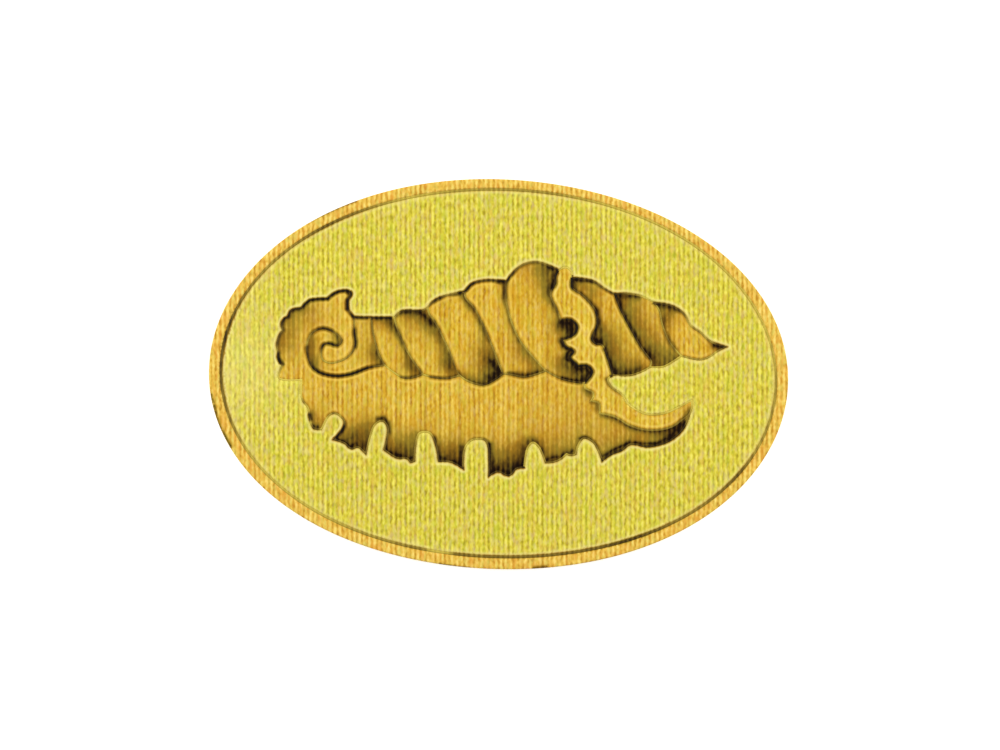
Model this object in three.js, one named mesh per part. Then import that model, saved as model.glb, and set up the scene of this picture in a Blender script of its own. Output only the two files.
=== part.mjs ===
// An oval marquetry inlay: a sand-shaded conch shell let into a green-yellow
// ground, inside a narrow boxwood band, all held together by a sheet of paper.
// Millimetres. The picture faces +Z, its length runs along X, and the origin is
// the middle of the underside.

import * as THREE from 'three';

// Driving dimensions.
const OVAL_LENGTH = 95;
const OVAL_WIDTH = 64;
const BAND_WIDTH = 1.65;
const BAND_JOINT = 0.4;
const KERF = 0.3;
const VENEER = 0.9;
const PAPER = 0.125;

// The ovals are cut by hand and are a little out of true. Each wave gives how often
// it comes round, how deep it cuts in, and at which angle it cuts in most.
const OUTSIDE_WAVES = [[3, 0.12, 35], [4, 0.14, -9]];
const OPENING_WAVES = [[1, 0.13, 252], [2, 0.07, 8], [3, 0.14, 26], [4, 0.17, 2]];

// How much of the ground shows beyond each end and side of the shell.
const CROWN_FIELD = 9.1;
const TIP_FIELD = 8.35;
const UPPER_FIELD = 11.35;
const LOWER_FIELD = 13.35;

// How finely round edges are followed.
const OVAL_SIDES = 96;
const CURVE_SAMPLES = 12;
const CHORD_ERROR = 0.03;
const SHORTEST_EDGE = 0.06;
const LONGEST_MITRE = 1.6;
const CLEAR_SHARE = 0.97;

// How far below its top a finger of ground is widest, as a share of its width.
const FINGER_ROUNDING = 0.42;

const COLOURS = {
  paper: 0xa88a5c,
  band: 0xeec45d,
  ground: 0xdbcc50,
  body: 0xcba33a,
  whorl: 0xd6ac3e,
  lip: 0xdcb83c,
};

// A point of the cutting pattern. The pattern is drawn by eye in steps of its own,
// about a millimetre each, and fitted() gives it its real size and place.
function at(x, y) {
  return new THREE.Vector2(x, y);
}

// Leaves out the points that a straight chord already passes close to.
function thinned(points) {
  const first = points[0];
  const last = points[points.length - 1];
  const chord = last.clone().sub(first);
  const length = chord.length();
  let worst = 0;
  let split = 0;
  for (let i = 1; i < points.length - 1; i += 1) {
    const offset = points[i].clone().sub(first);
    const distance = length > 0 ? Math.abs(chord.cross(offset)) / length : offset.length();
    if (distance > worst) {
      worst = distance;
      split = i;
    }
  }
  if (worst <= CHORD_ERROR) {
    return [first, last];
  }
  const before = thinned(points.slice(0, split + 1));
  const after = thinned(points.slice(split));
  return [...before.slice(0, -1), ...after];
}

// A smooth saw cut through a few points.
function smooth(...points) {
  const knots = points.map((p) => new THREE.Vector3(p.x, p.y, 0));
  const curve = new THREE.CatmullRomCurve3(knots, false, 'centripetal');
  const samples = curve.getPoints(CURVE_SAMPLES * (points.length - 1));
  return thinned(samples.map((p) => new THREE.Vector2(p.x, p.y)));
}

// A cut from a to b that swells to the left of its way, by a share of its length.
function swell(a, b, rise) {
  const chord = b.clone().sub(a);
  const out = new THREE.Vector2(-chord.y, chord.x).multiplyScalar(rise);
  const samples = [];
  for (let i = 0; i <= CURVE_SAMPLES; i += 1) {
    const t = i / CURVE_SAMPLES;
    const height = 4 * t * (1 - t);
    samples.push(a.clone().addScaledVector(chord, t).addScaledVector(out, height));
  }
  return thinned(samples);
}

// A row of lobes that meet in nicks.
function lobes(nicks, rise) {
  const row = [];
  for (let i = 1; i < nicks.length; i += 1) {
    row.push(swell(nicks[i - 1], nicks[i], rise));
  }
  return joined(...row);
}

// A finger of ground that reaches up between two spines of the shell: up its
// right side from one foot, round its top, and down to its other foot.
function finger(rightFoot, top, leftFoot, width) {
  const middle = rightFoot.clone().add(leftFoot).multiplyScalar(0.5);
  const up = top.clone().sub(middle).normalize();
  const side = new THREE.Vector2(up.y, -up.x).multiplyScalar(width / 2);
  const shoulder = top.clone().addScaledVector(up, -width * FINGER_ROUNDING);
  const right = shoulder.clone().add(side);
  const left = shoulder.clone().sub(side);
  return smooth(rightFoot, right, top, left, leftFoot);
}

// Cuts joined end to end.
function joined(...cuts) {
  const path = [];
  for (const cut of cuts) {
    path.push(...(path.length > 0 ? cut.slice(1) : cut));
  }
  return path;
}

function reversed(cut) {
  return [...cut].reverse();
}

// The crown: a ledge, a ruffled edge and the rounded end of its roll.
const crownEdge = joined(
  smooth(at(-32.3, -1.8), at(-35, -1.9), at(-36, -1.6), at(-36, -0.9), at(-35.5, 0.5)),
  lobes([at(-35.5, 0.5), at(-36.3, 2.5), at(-35.6, 6.2)], 0.13),
  lobes([at(-35.6, 6.2), at(-34.8, 8.5)], 0.24),
  smooth(at(-34.8, 8.5), at(-34.4, 9.4), at(-33.8, 9.7), at(-32.7, 9.9)),
  smooth(at(-32.7, 9.9), at(-31.4, 11.2), at(-30.7, 11.4), at(-28.4, 11.6)),
  lobes([at(-28.4, 11.6), at(-25.3, 13)], 0.12),
  smooth(at(-25.3, 13), at(-24.7, 12.8), at(-24.6, 12.3), at(-25, 11.6), at(-25.1, 10.8)),
  smooth(at(-25.1, 10.8), at(-24.9, 9.8), at(-24, 8.7)),
);

// The cut that rolls the crown up with the first whorl.
const roll = smooth(
  at(-24, 8.7), at(-23.8, 5.7), at(-23.7, 3.9), at(-24.9, 2.1), at(-26.5, 1.3), at(-27.8, 1.1),
  at(-28.9, 1.6), at(-29.2, 2.9), at(-28.9, 4), at(-28.1, 4.3), at(-26.5, 4), at(-25.9, 4.8),
  at(-26.7, 5.8), at(-28.7, 6.7), at(-30.1, 6.4), at(-31.1, 5.5), at(-31.6, 3.8), at(-31.3, 1.9),
  at(-30.5, 0.3), at(-29.1, -0.6), at(-26.6, -1), at(-24.2, -0.6), at(-21.1, 0.6), at(-18.7, 1),
);

// The flaring rims of the whorls, from the crown to the lip.
const rims = [
  smooth(at(-24, 8.7), at(-21.2, 8.7)),
  smooth(at(-21.2, 8.7), at(-17.4, 8.8)),
  smooth(at(-17.4, 8.8), at(-16.6, 9.7), at(-15.7, 10), at(-12.9, 10.1), at(-12, 10.6)),
  smooth(at(-12, 10.6), at(-11.5, 11.3), at(-10.3, 12.2), at(-8.6, 12.8), at(-6, 13.4)),
  smooth(at(-6, 13.4), at(-4.9, 14.7), at(-4, 15.1), at(-2.4, 15.4), at(0.8, 15.3)),
  smooth(at(0.8, 15.3), at(2.4, 17.4), at(3.9, 18.3), at(5.7, 18.6), at(7.3, 18.2), at(9.3, 17.4)),
];

// The cuts that part one whorl from the next, each down to the body.
const ribs = [
  smooth(at(-21.2, 8.7), at(-20.8, 6.3), at(-19.7, 2.7), at(-18.7, 1)),
  smooth(at(-17.4, 8.8), at(-16.9, 7.2), at(-15.1, 3.4), at(-12.5, -0.3)),
  smooth(at(-12, 10.6), at(-11.7, 9.6), at(-10.9, 8.6), at(-8.8, 4.8), at(-6.4, -0.3)),
  smooth(at(-6, 13.4), at(-5.8, 12.4), at(-4.5, 11), at(-3.2, 8.8), at(-1.9, 6), at(0.7, 0.2)),
  smooth(at(0.8, 15.3), at(0.7, 13.6), at(1.1, 11), at(1.9, 8.6), at(3.5, 5.4), at(7.7, 0.9)),
];

// The body's upper edge sags under each whorl.
const saddles = [
  smooth(at(-18.7, 1), at(-17.3, 0), at(-15.8, -0.9), at(-14.2, -0.9), at(-12.5, -0.3)),
  smooth(at(-12.5, -0.3), at(-10.9, -0.7), at(-8.3, -0.8), at(-6.4, -0.3)),
  smooth(at(-6.4, -0.3), at(-5.2, -1.1), at(-2.7, -1.7), at(-1.3, -1.2), at(0.7, 0.2)),
  smooth(at(0.7, 0.2), at(2.1, 0.1), at(4.1, -0.2), at(5.9, 0.2), at(7.7, 0.9)),
  smooth(at(7.7, 0.9), at(9.9, -0.2), at(12, -0.7), at(14.1, -0.9)),
];

// The lip's torn left edge: a long hollow, a round bite and four teeth.
const lipTear = joined(
  smooth(at(9.3, 17.4), at(8.8, 16.4), at(8.8, 15.3), at(8.1, 13.4), at(8.8, 11.7), at(9.9, 9.3)),
  smooth(at(9.9, 9.3), at(11.6, 9.3), at(12.6, 8.2), at(12, 6.9), at(10.2, 6.1)),
  smooth(at(10.2, 6.1), at(10.7, 5), at(12.1, 4.2), at(11.5, 3.2), at(12.3, 2.4), at(12.9, 1.8)),
  smooth(at(12.9, 1.8), at(14.4, 1.9), at(15.3, 1), at(14.7, 0), at(14.1, -0.9)),
);

// The lip's seat on the body, and the underside of its tail.
const lipSeat = joined(
  smooth(at(14.1, -0.9), at(14.2, -1.7), at(15.5, -2.4), at(15.6, -3.1), at(15.2, -3.8)),
  smooth(at(15.2, -3.8), at(16.5, -4.1), at(16.7, -4.9), at(16.7, -5.8)),
  smooth(at(16.7, -5.8), at(19, -6.2), at(21.9, -7.7), at(24.8, -8.3), at(28.4, -7.7), at(31.5, -5.3)),
);

const lipTop = smooth(at(9.3, 17.4), at(10.4, 17.9), at(11.3, 17.3), at(11.5, 16.2));
const lipRight = smooth(
  at(11.5, 16.2), at(11.6, 14.6), at(13.2, 13.5), at(15.4, 11.1), at(15.9, 8.9), at(15.1, 6.3),
  at(15.7, 5.6), at(16.7, 5.4), at(17.7, 3.4), at(18.4, 1.4), at(18.7, 0.5),
);
const tailTop = joined(
  smooth(at(18.7, 0.5), at(17.9, -0.2), at(18.5, -1.4), at(20.2, -2.6), at(21.1, -3.9)),
  smooth(at(21.1, -3.9), at(22.6, -5), at(24.4, -5.7), at(26.8, -5.6), at(28.3, -5.1), at(31.7, -3.2)),
);
const tailEnd = smooth(at(31.7, -3.2), at(31.8, -4.1), at(31.5, -5.3));

// The three whorls beyond the lip: rims, undersides and the cuts between them.
const farRims = [
  smooth(at(11.5, 16.2), at(14.9, 15.8), at(16.4, 14.9), at(18.6, 13.8)),
  smooth(at(18.6, 13.8), at(20.5, 13.9), at(22.8, 13.6), at(25, 12.6)),
  joined(
    smooth(at(25, 12.6), at(28, 12.1), at(30.1, 10.8), at(31, 9.2), at(32.7, 8)),
    smooth(at(32.7, 8), at(34.5, 6.5), at(37.1, 5.7)),
  ),
];
const undersides = [
  smooth(at(24.7, 2), at(23.5, 1.3), at(21.6, 0.6), at(18.7, 0.5)),
  smooth(at(29.8, 4), at(28.3, 3), at(27, 2.2), at(24.7, 2)),
  smooth(at(37.1, 5.7), at(35.6, 4.9), at(34.4, 4), at(33, 3.5), at(29.8, 4)),
];
const farRibs = [
  smooth(at(18.6, 13.8), at(19.4, 11.8), at(21.1, 8.7), at(23.6, 4.6), at(24.9, 2.9), at(24.7, 2)),
  smooth(at(25, 12.6), at(25.9, 11.4), at(26.4, 9.4), at(27.8, 6.2), at(29.8, 4)),
];

// The body's hem, from the tail round to the crown: six fingers of ground
// between its spines. Three of them lean too much for the rule and are drawn
// point by point.
const hem = joined(
  smooth(at(31.5, -5.3), at(30.7, -7.5), at(29.3, -9.2), at(27.3, -10.4), at(24.6, -11)),
  smooth(at(24.6, -11), at(21.9, -10.7), at(20.7, -11.6), at(18.7, -12.5), at(17.4, -13.5)),
  finger(at(17.4, -13.5), at(14.2, -9.9), at(13, -12.6), 2.7),
  lobes([at(13, -12.6), at(11.5, -12.6), at(8.1, -14.1)], 0.12),
  finger(at(8.1, -14.1), at(5.9, -10.9), at(4.6, -15), 1.8),
  smooth(at(4.6, -15), at(3.4, -15.2), at(2.2, -16.4), at(0.3, -15.8), at(-1.1, -16.6)),
  smooth(
    at(-1.1, -16.6), at(-1.2, -13.2), at(-1.4, -11.7), at(-2, -10.7), at(-4.1, -10.8), at(-5.2, -12.2),
    at(-5.4, -15.5),
  ),
  smooth(at(-5.4, -15.5), at(-7.3, -14.5), at(-9.4, -14.4)),
  smooth(
    at(-9.4, -14.4), at(-10.1, -11.3), at(-11.1, -9.8), at(-12.7, -9.9), at(-13.3, -12.1),
    at(-13.4, -14.5),
  ),
  smooth(at(-13.4, -14.5), at(-14, -14.7), at(-14.6, -14.1), at(-16.2, -14.1), at(-18.4, -12.8)),
  finger(at(-18.4, -12.8), at(-18.8, -8.1), at(-21.4, -13.6), 2.2),
  smooth(at(-21.4, -13.6), at(-22.7, -12.5), at(-23.8, -12.8), at(-25, -11.9), at(-26.7, -11.4)),
  smooth(
    at(-26.7, -11.4), at(-25.2, -9.4), at(-25.1, -8.3), at(-26.6, -7.1), at(-27.6, -7.5),
    at(-28.8, -9.8),
  ),
  smooth(at(-28.8, -9.8), at(-30.1, -9.6), at(-30.7, -8.3), at(-31.1, -6.3)),
  smooth(at(-31.1, -6.3), at(-32.1, -4.9), at(-32.3, -1.8)),
);

// Twice the signed area: above nought where the loop runs anticlockwise.
function turning(loop) {
  return loop.reduce((sum, p, i) => sum + p.cross(loop[(i + 1) % loop.length]), 0);
}

function anticlockwise(path) {
  const loop = path.filter((p, i) => p.distanceTo(path.at(i - 1)) > SHORTEST_EDGE);
  return turning(loop) > 0 ? loop : reversed(loop);
}

// How far a point is from the nearest edge of a loop.
function clearance(point, loop) {
  const edge = new THREE.Line3();
  const nearest = new THREE.Vector3();
  const probe = new THREE.Vector3(point.x, point.y, 0);
  let least = Infinity;
  loop.forEach((p, i) => {
    const q = loop[(i + 1) % loop.length];
    edge.start.set(p.x, p.y, 0);
    edge.end.set(q.x, q.y, 0);
    edge.closestPointToPoint(probe, true, nearest);
    least = Math.min(least, nearest.distanceTo(probe));
  });
  return least;
}

// The loop moved sideways by a distance: inwards above nought, outwards below.
// A corner that opens towards the move keeps its full mitre, and the others
// keep a short one.
function moved(path, distance) {
  const loop = anticlockwise(path);
  const reach = Math.abs(distance);
  const result = [];
  loop.forEach((p, i) => {
    const into = p.clone().sub(loop.at(i - 1)).normalize();
    const away = loop[(i + 1) % loop.length].clone().sub(p).normalize();
    const mitre = new THREE.Vector2(-into.y - away.y, into.x + away.x);
    const opens = into.cross(away) * distance > 0;
    const size = opens ? mitre.length() : Math.max(mitre.length(), 2 / LONGEST_MITRE);
    const place = p.clone().addScaledVector(mitre.normalize(), 2 * distance / size);
    if (clearance(place, loop) > reach * CLEAR_SHARE) {
      result.push(place);
    }
  });
  return anticlockwise(result);
}

// An oval cut parallel to the nominal one, a little way inside it, with its waves.
function oval(inset, waves) {
  const points = [];
  for (let i = 0; i < OVAL_SIDES; i += 1) {
    const angle = (2 * Math.PI * i) / OVAL_SIDES;
    const across = Math.cos(angle);
    const up = Math.sin(angle);
    const place = new THREE.Vector2(across * OVAL_LENGTH / 2, up * OVAL_WIDTH / 2);
    const outward = new THREE.Vector2(across / OVAL_LENGTH, up / OVAL_WIDTH).normalize();
    let depth = inset;
    for (const [times, height, degrees] of waves) {
      depth += height * Math.cos(times * (angle - THREE.MathUtils.degToRad(degrees)));
    }
    points.push(place.addScaledVector(outward, -depth));
  }
  return points;
}

const farUnder = joined(...[...undersides].reverse());
const shell = joined(crownEdge, ...rims, lipTop, ...farRims, farUnder, tailTop, tailEnd, hem);

// The ground fills what the band leaves, and the shell what the fields leave.
const groundLength = OVAL_LENGTH - 2 * (BAND_WIDTH + BAND_JOINT);
const groundWidth = OVAL_WIDTH - 2 * (BAND_WIDTH + BAND_JOINT);
const shellLength = groundLength - CROWN_FIELD - TIP_FIELD;
const shellWidth = groundWidth - UPPER_FIELD - LOWER_FIELD;
const pattern = new THREE.Box2().setFromPoints(shell);
const drawn = pattern.getSize(new THREE.Vector2());
const stretch = new THREE.Vector2(shellLength, shellWidth).divide(drawn);
const corner = new THREE.Vector2(CROWN_FIELD - groundLength / 2, LOWER_FIELD - groundWidth / 2);

// A loop of the cutting pattern at its real size and place.
function fitted(path) {
  return path.map((p) => p.clone().sub(pattern.min).multiply(stretch).add(corner));
}

// The middle of the whole outside is the origin.
const outside = oval(0, OUTSIDE_WAVES);
const middle = new THREE.Box2().setFromPoints(outside).getCenter(new THREE.Vector2());

const group = new THREE.Group();
group.position.set(-middle.x, -middle.y, 0);

// A flat piece sawn from sheet: its outline, an opening in it, and where it lies.
function sheet(name, outline, opening, thickness, height, colour) {
  const shape = new THREE.Shape(outline);
  if (opening) {
    shape.holes.push(new THREE.Path(opening));
  }
  const geometry = new THREE.ExtrudeGeometry(shape, { depth: thickness, bevelEnabled: false });
  const material = new THREE.MeshStandardMaterial({ color: colour, roughness: 0.5, metalness: 0 });
  const mesh = new THREE.Mesh(geometry, material);
  mesh.name = name;
  mesh.position.z = height;
  group.add(mesh);
}

function leaf(name, outline, opening, colour) {
  sheet(name, outline, opening, VENEER, PAPER, colour);
}

// A leaf of the shell loses half a saw cut all round.
function shellLeaf(name, outline, colour) {
  leaf(name, moved(fitted(outline), KERF / 2), null, colour);
}

sheet('backing_paper', outside, null, PAPER, 0, COLOURS.paper);
leaf('border_band', outside, oval(BAND_WIDTH, OPENING_WAVES), COLOURS.band);

const groundOpening = moved(fitted(shell), -KERF / 2);
const groundEdge = oval(BAND_WIDTH + BAND_JOINT, OPENING_WAVES);
leaf('ground', groundEdge, groundOpening, COLOURS.ground);

shellLeaf('shell_body', joined(crownEdge, roll, ...saddles, lipSeat, hem), COLOURS.body);
shellLeaf('shell_whorl_1', joined(rims[0], ribs[0], reversed(roll)), COLOURS.whorl);
for (let i = 1; i < ribs.length; i += 1) {
  const around = joined(rims[i], ribs[i], reversed(saddles[i - 1]), reversed(ribs[i - 1]));
  shellLeaf(`shell_whorl_${i + 1}`, around, COLOURS.whorl);
}
const beforeLip = joined(rims[5], lipTear, reversed(saddles[4]), reversed(ribs[4]));
shellLeaf('shell_whorl_6', beforeLip, COLOURS.whorl);

const lip = joined(lipTop, lipRight, tailTop, tailEnd, reversed(lipSeat), reversed(lipTear));
shellLeaf('shell_lip', lip, COLOURS.lip);

const farCuts = [lipRight, ...farRibs, []];
for (let i = 0; i < farRims.length; i += 1) {
  const around = joined(farRims[i], farCuts[i + 1], undersides[i], reversed(farCuts[i]));
  shellLeaf(`shell_whorl_${i + 7}`, around, COLOURS.whorl);
}

export default group;
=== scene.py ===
# %% [markdown]
# A marquetry oval with a sand-shaded shell
#
# The object is a small inlay, 95 mm long, of the kind that a cabinet maker lets
# into a table top. A shell of eleven thin leaves of wood lies in a green-yellow
# ground, inside a boxwood band, and a sheet of paper holds everything together.
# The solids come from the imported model, and each one has its place already. This
# script makes the surface that the eye sees around them.

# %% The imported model
import math

import bpy
import numpy as np
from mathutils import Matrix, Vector
from mathutils.geometry import delaunay_2d_cdt
from mathutils.kdtree import KDTree


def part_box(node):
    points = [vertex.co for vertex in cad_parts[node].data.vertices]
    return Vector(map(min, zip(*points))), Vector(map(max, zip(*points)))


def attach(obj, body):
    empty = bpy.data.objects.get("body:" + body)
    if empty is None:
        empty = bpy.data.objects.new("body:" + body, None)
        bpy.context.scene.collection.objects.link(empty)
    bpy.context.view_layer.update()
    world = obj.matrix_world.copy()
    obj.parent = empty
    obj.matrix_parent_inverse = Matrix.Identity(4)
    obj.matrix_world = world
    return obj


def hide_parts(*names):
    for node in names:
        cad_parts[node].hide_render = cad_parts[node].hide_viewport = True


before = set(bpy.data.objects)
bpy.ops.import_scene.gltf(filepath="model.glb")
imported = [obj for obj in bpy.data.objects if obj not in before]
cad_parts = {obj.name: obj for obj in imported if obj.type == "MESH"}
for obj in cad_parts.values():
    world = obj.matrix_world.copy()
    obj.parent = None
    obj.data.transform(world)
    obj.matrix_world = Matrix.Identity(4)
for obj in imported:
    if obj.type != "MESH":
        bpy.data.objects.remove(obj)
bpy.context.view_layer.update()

MM = 0.001

# %% [markdown]
# Sizes
#
# Blender works in metres, and a saw cut is a third of a millimetre, so the flat
# work below is done in millimetres and turned to metres once, when a mesh is made.
# The heights are read from the model: the paper lies at the bottom, and the
# veneers stand on it. The oval was cut out a little askew: its long axis leans by
# less than two degrees to the grain of the sheets, and to the photograph.

# %% Heights and overall sizes
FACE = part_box("ground")[1].z / MM
PAPER_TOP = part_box("ground")[0].z / MM
VENEER = FACE - PAPER_TOP
OVAL_LENGTH = 2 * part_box("border_band")[1].x / MM
OVAL_WIDTH = 2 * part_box("border_band")[1].y / MM
OVAL_TURN = 0.0305
print("veneer", round(VENEER, 3), "mm, oval", round(OVAL_LENGTH, 2), "by", round(OVAL_WIDTH, 2))

# %% [markdown]
# Outlines
#
# A sawn leaf is an outline with a thickness. The solids are faceted, so the
# outline is read from the flat top of each one: an edge that only one flat
# triangle uses is part of the rim. Those edges are then followed from end to end.

# %% Read the outlines of a flat piece
TOP_TOUCH = 1e-3


def outlines(node):
    """The closed rims of a flat piece's top, each a list of points in millimetres."""
    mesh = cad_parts[node].data
    points = np.array([v.co for v in mesh.vertices]) / MM
    top = points[:, 2].max()
    numbers = {}
    number = [numbers.setdefault(tuple(np.round(p, 3)), len(numbers)) for p in points]
    places = np.array(list(numbers))[:, :2]
    sides = set()
    for face in mesh.polygons:
        corners = list(face.vertices)
        if points[corners, 2].min() > top - TOP_TOUCH:
            ring = [number[c] for c in corners]
            sides.update(zip(ring, ring[1:] + ring[:1]))
    onward = {a: b for a, b in sides if (b, a) not in sides}
    rims = []
    while onward:
        start, here = next(iter(onward.items()))
        rim = [start]
        while here != start:
            rim.append(here)
            here = onward.pop(here)
        onward.pop(start)
        rims.append(places[rim])
    return sorted(rims, key=len)


leaves = sorted(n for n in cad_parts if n.startswith("shell_"))
print("shell leaves:", len(leaves), "with", [len(outlines(n)[0]) for n in leaves], "points")

# %% [markdown]
# A fret saw runs in one sweep round a bend and stops dead in a corner. So the
# facets are bent into curves again, except where the outline turns sharply: each
# stretch becomes a Hermite curve whose ends point along the mean of its
# neighbours, or straight on at a corner.

# %% Bend the facets into curves
OUTLINE_STEP = 0.15
OVAL_STEP = 0.6
SHARPEST_BEND = math.radians(35)


def eased(rim, step):
    """The rim as closely spaced points on smooth curves, with its sharp corners kept."""
    onward = np.roll(rim, -1, 0) - rim
    length = np.linalg.norm(onward, axis=1)[:, None]
    way = onward / length
    before = np.roll(way, 1, 0)
    cross = before[:, 0] * way[:, 1] - before[:, 1] * way[:, 0]
    turn = np.arctan2(cross, (before * way).sum(1))
    heading = before * length + way * np.roll(length, 1, 0)
    heading /= np.linalg.norm(heading, axis=1)[:, None]
    sharp = np.abs(turn) > SHARPEST_BEND
    stretches = []
    for i in range(len(rim)):
        j = (i + 1) % len(rim)
        leave = length[i] * (way[i] if sharp[i] else heading[i])
        arrive = length[i] * (way[i] if sharp[j] else heading[j])
        parts = max(1, round(float(length[i, 0]) / step))
        t = np.arange(parts)[:, None] / parts
        stretches.append(
            rim[i] * (2 * t**3 - 3 * t**2 + 1)
            + leave * (t**3 - 2 * t**2 + t)
            + rim[j] * (3 * t**2 - 2 * t**3)
            + arrive * (t**3 - t**2)
        )
    return np.concatenate(stretches)


opening, oval_edge = outlines("ground")
if np.ptp(opening[:, 0]) > np.ptp(oval_edge[:, 0]):
    opening, oval_edge = oval_edge, opening
opening = eased(opening, OUTLINE_STEP)
ground_rims = [eased(oval_edge, OVAL_STEP), opening]
leaf_rims = {name: eased(outlines(name)[0], OUTLINE_STEP) for name in leaves}
print("points round the opening:", len(opening), "and round the leaves:",
      sum(len(r) for r in leaf_rims.values()))

# %% [markdown]
# Filling an outline
#
# The shading of a leaf changes within a millimetre, and it is carried by the
# corners of the mesh. One big polygon has corners only at its rim, so each
# outline is filled with evenly spread points, in staggered rows, and a
# constrained triangulation joins them without ever crossing a rim.

# %% Points inside, and how far they are from the rim
def spread(rims, pitch):
    """Evenly spread points inside closed rims, in staggered rows."""
    start = np.concatenate(rims)
    end = np.concatenate([np.roll(rim, -1, 0) for rim in rims])
    rise = pitch * math.sqrt(0.75)
    rows = []
    for row, y in enumerate(np.arange(start[:, 1].min() + rise / 2, start[:, 1].max(), rise)):
        cut = (start[:, 1] <= y) != (end[:, 1] <= y)
        a, b = start[cut], end[cut]
        crossings = np.sort(a[:, 0] + (y - a[:, 1]) * (b[:, 0] - a[:, 0]) / (b[:, 1] - a[:, 1]))
        for left, right in zip(crossings[::2], crossings[1::2]):
            x = (np.arange(math.floor(left / pitch), right / pitch) + row % 2 / 2) * pitch
            x = x[(x > left) & (x < right)]
            rows.append(np.column_stack([x, np.full(len(x), y)]))
    return np.concatenate(rows)


def rim_distance(points, rims):
    """How far each point is from the nearest point of the rims."""
    rim = np.concatenate(rims)
    tree = KDTree(len(rim))
    for i, p in enumerate(rim):
        tree.insert((*p, 0), i)
    tree.balance()
    return np.array([tree.find((*p, 0))[2] for p in points])


def inside(points, rims):
    """Whether each point is inside: a line from it crosses the rims an odd number of times."""
    odd = np.zeros(len(points), bool)
    for rim in rims:
        for a, b in zip(rim, np.roll(rim, -1, 0)):
            if a[1] != b[1]:
                cut = (a[1] <= points[:, 1]) != (b[1] <= points[:, 1])
                x = a[0] + (points[:, 1] - a[1]) * (b[0] - a[0]) / (b[1] - a[1])
                odd ^= cut & (points[:, 0] < x)
    return odd


print("points a millimetre apart in the ground:", len(spread(ground_rims, 1.0)))

# %% Fill an outline with triangles
FINE_PITCH = 0.17
RIM_TOUCH = 1e-3
CORNER_TOUCH = 1e-6


def filled(rims, points):
    """The corners and triangles of the flat area that the rims enclose."""
    edges = []
    first = 0
    for rim in rims:
        edges += [(first + i, first + (i + 1) % len(rim)) for i in range(len(rim))]
        first += len(rim)
    given = [Vector(p) for p in np.concatenate([*rims, points])]
    corners, _, faces, *_ = delaunay_2d_cdt(given, edges, [], 0, CORNER_TOUCH, False)
    corners = np.array([tuple(c) for c in corners])
    faces = np.array(faces)
    on_rim = rim_distance(corners, rims) < RIM_TOUCH
    doubtful = on_rim[faces].all(1)
    keep = ~doubtful
    keep[doubtful] = inside(corners[faces[doubtful]].mean(1), rims)
    return corners, faces[keep]


def inner_points(rims, pitch):
    """Spread points, without those that crowd the rim."""
    points = spread(rims, pitch)
    return points[rim_distance(points, rims) > pitch / 2]


sample = [leaf_rims["shell_whorl_8"]]
corners, faces = filled(sample, inner_points(sample, FINE_PITCH))
print("the eighth leaf filled:", len(corners), "corners and", len(faces), "triangles")

# %% [markdown]
# Sand shading
#
# The shadows in the shell are scorched into the wood. The maker holds a leaf in
# tweezers and dips one edge in hot sand: the edge goes black, and the colour
# fades inwards to olive, tan and bare wood. Painting that would be flat, so each
# dip is a line along the edge that lay deepest in the sand, with how dark it got
# there and how far the heat reached, all in millimetres. The names follow the
# shell: six spines along the hem of the body, and between them the fingers of
# ground that reach up into it.

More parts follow.
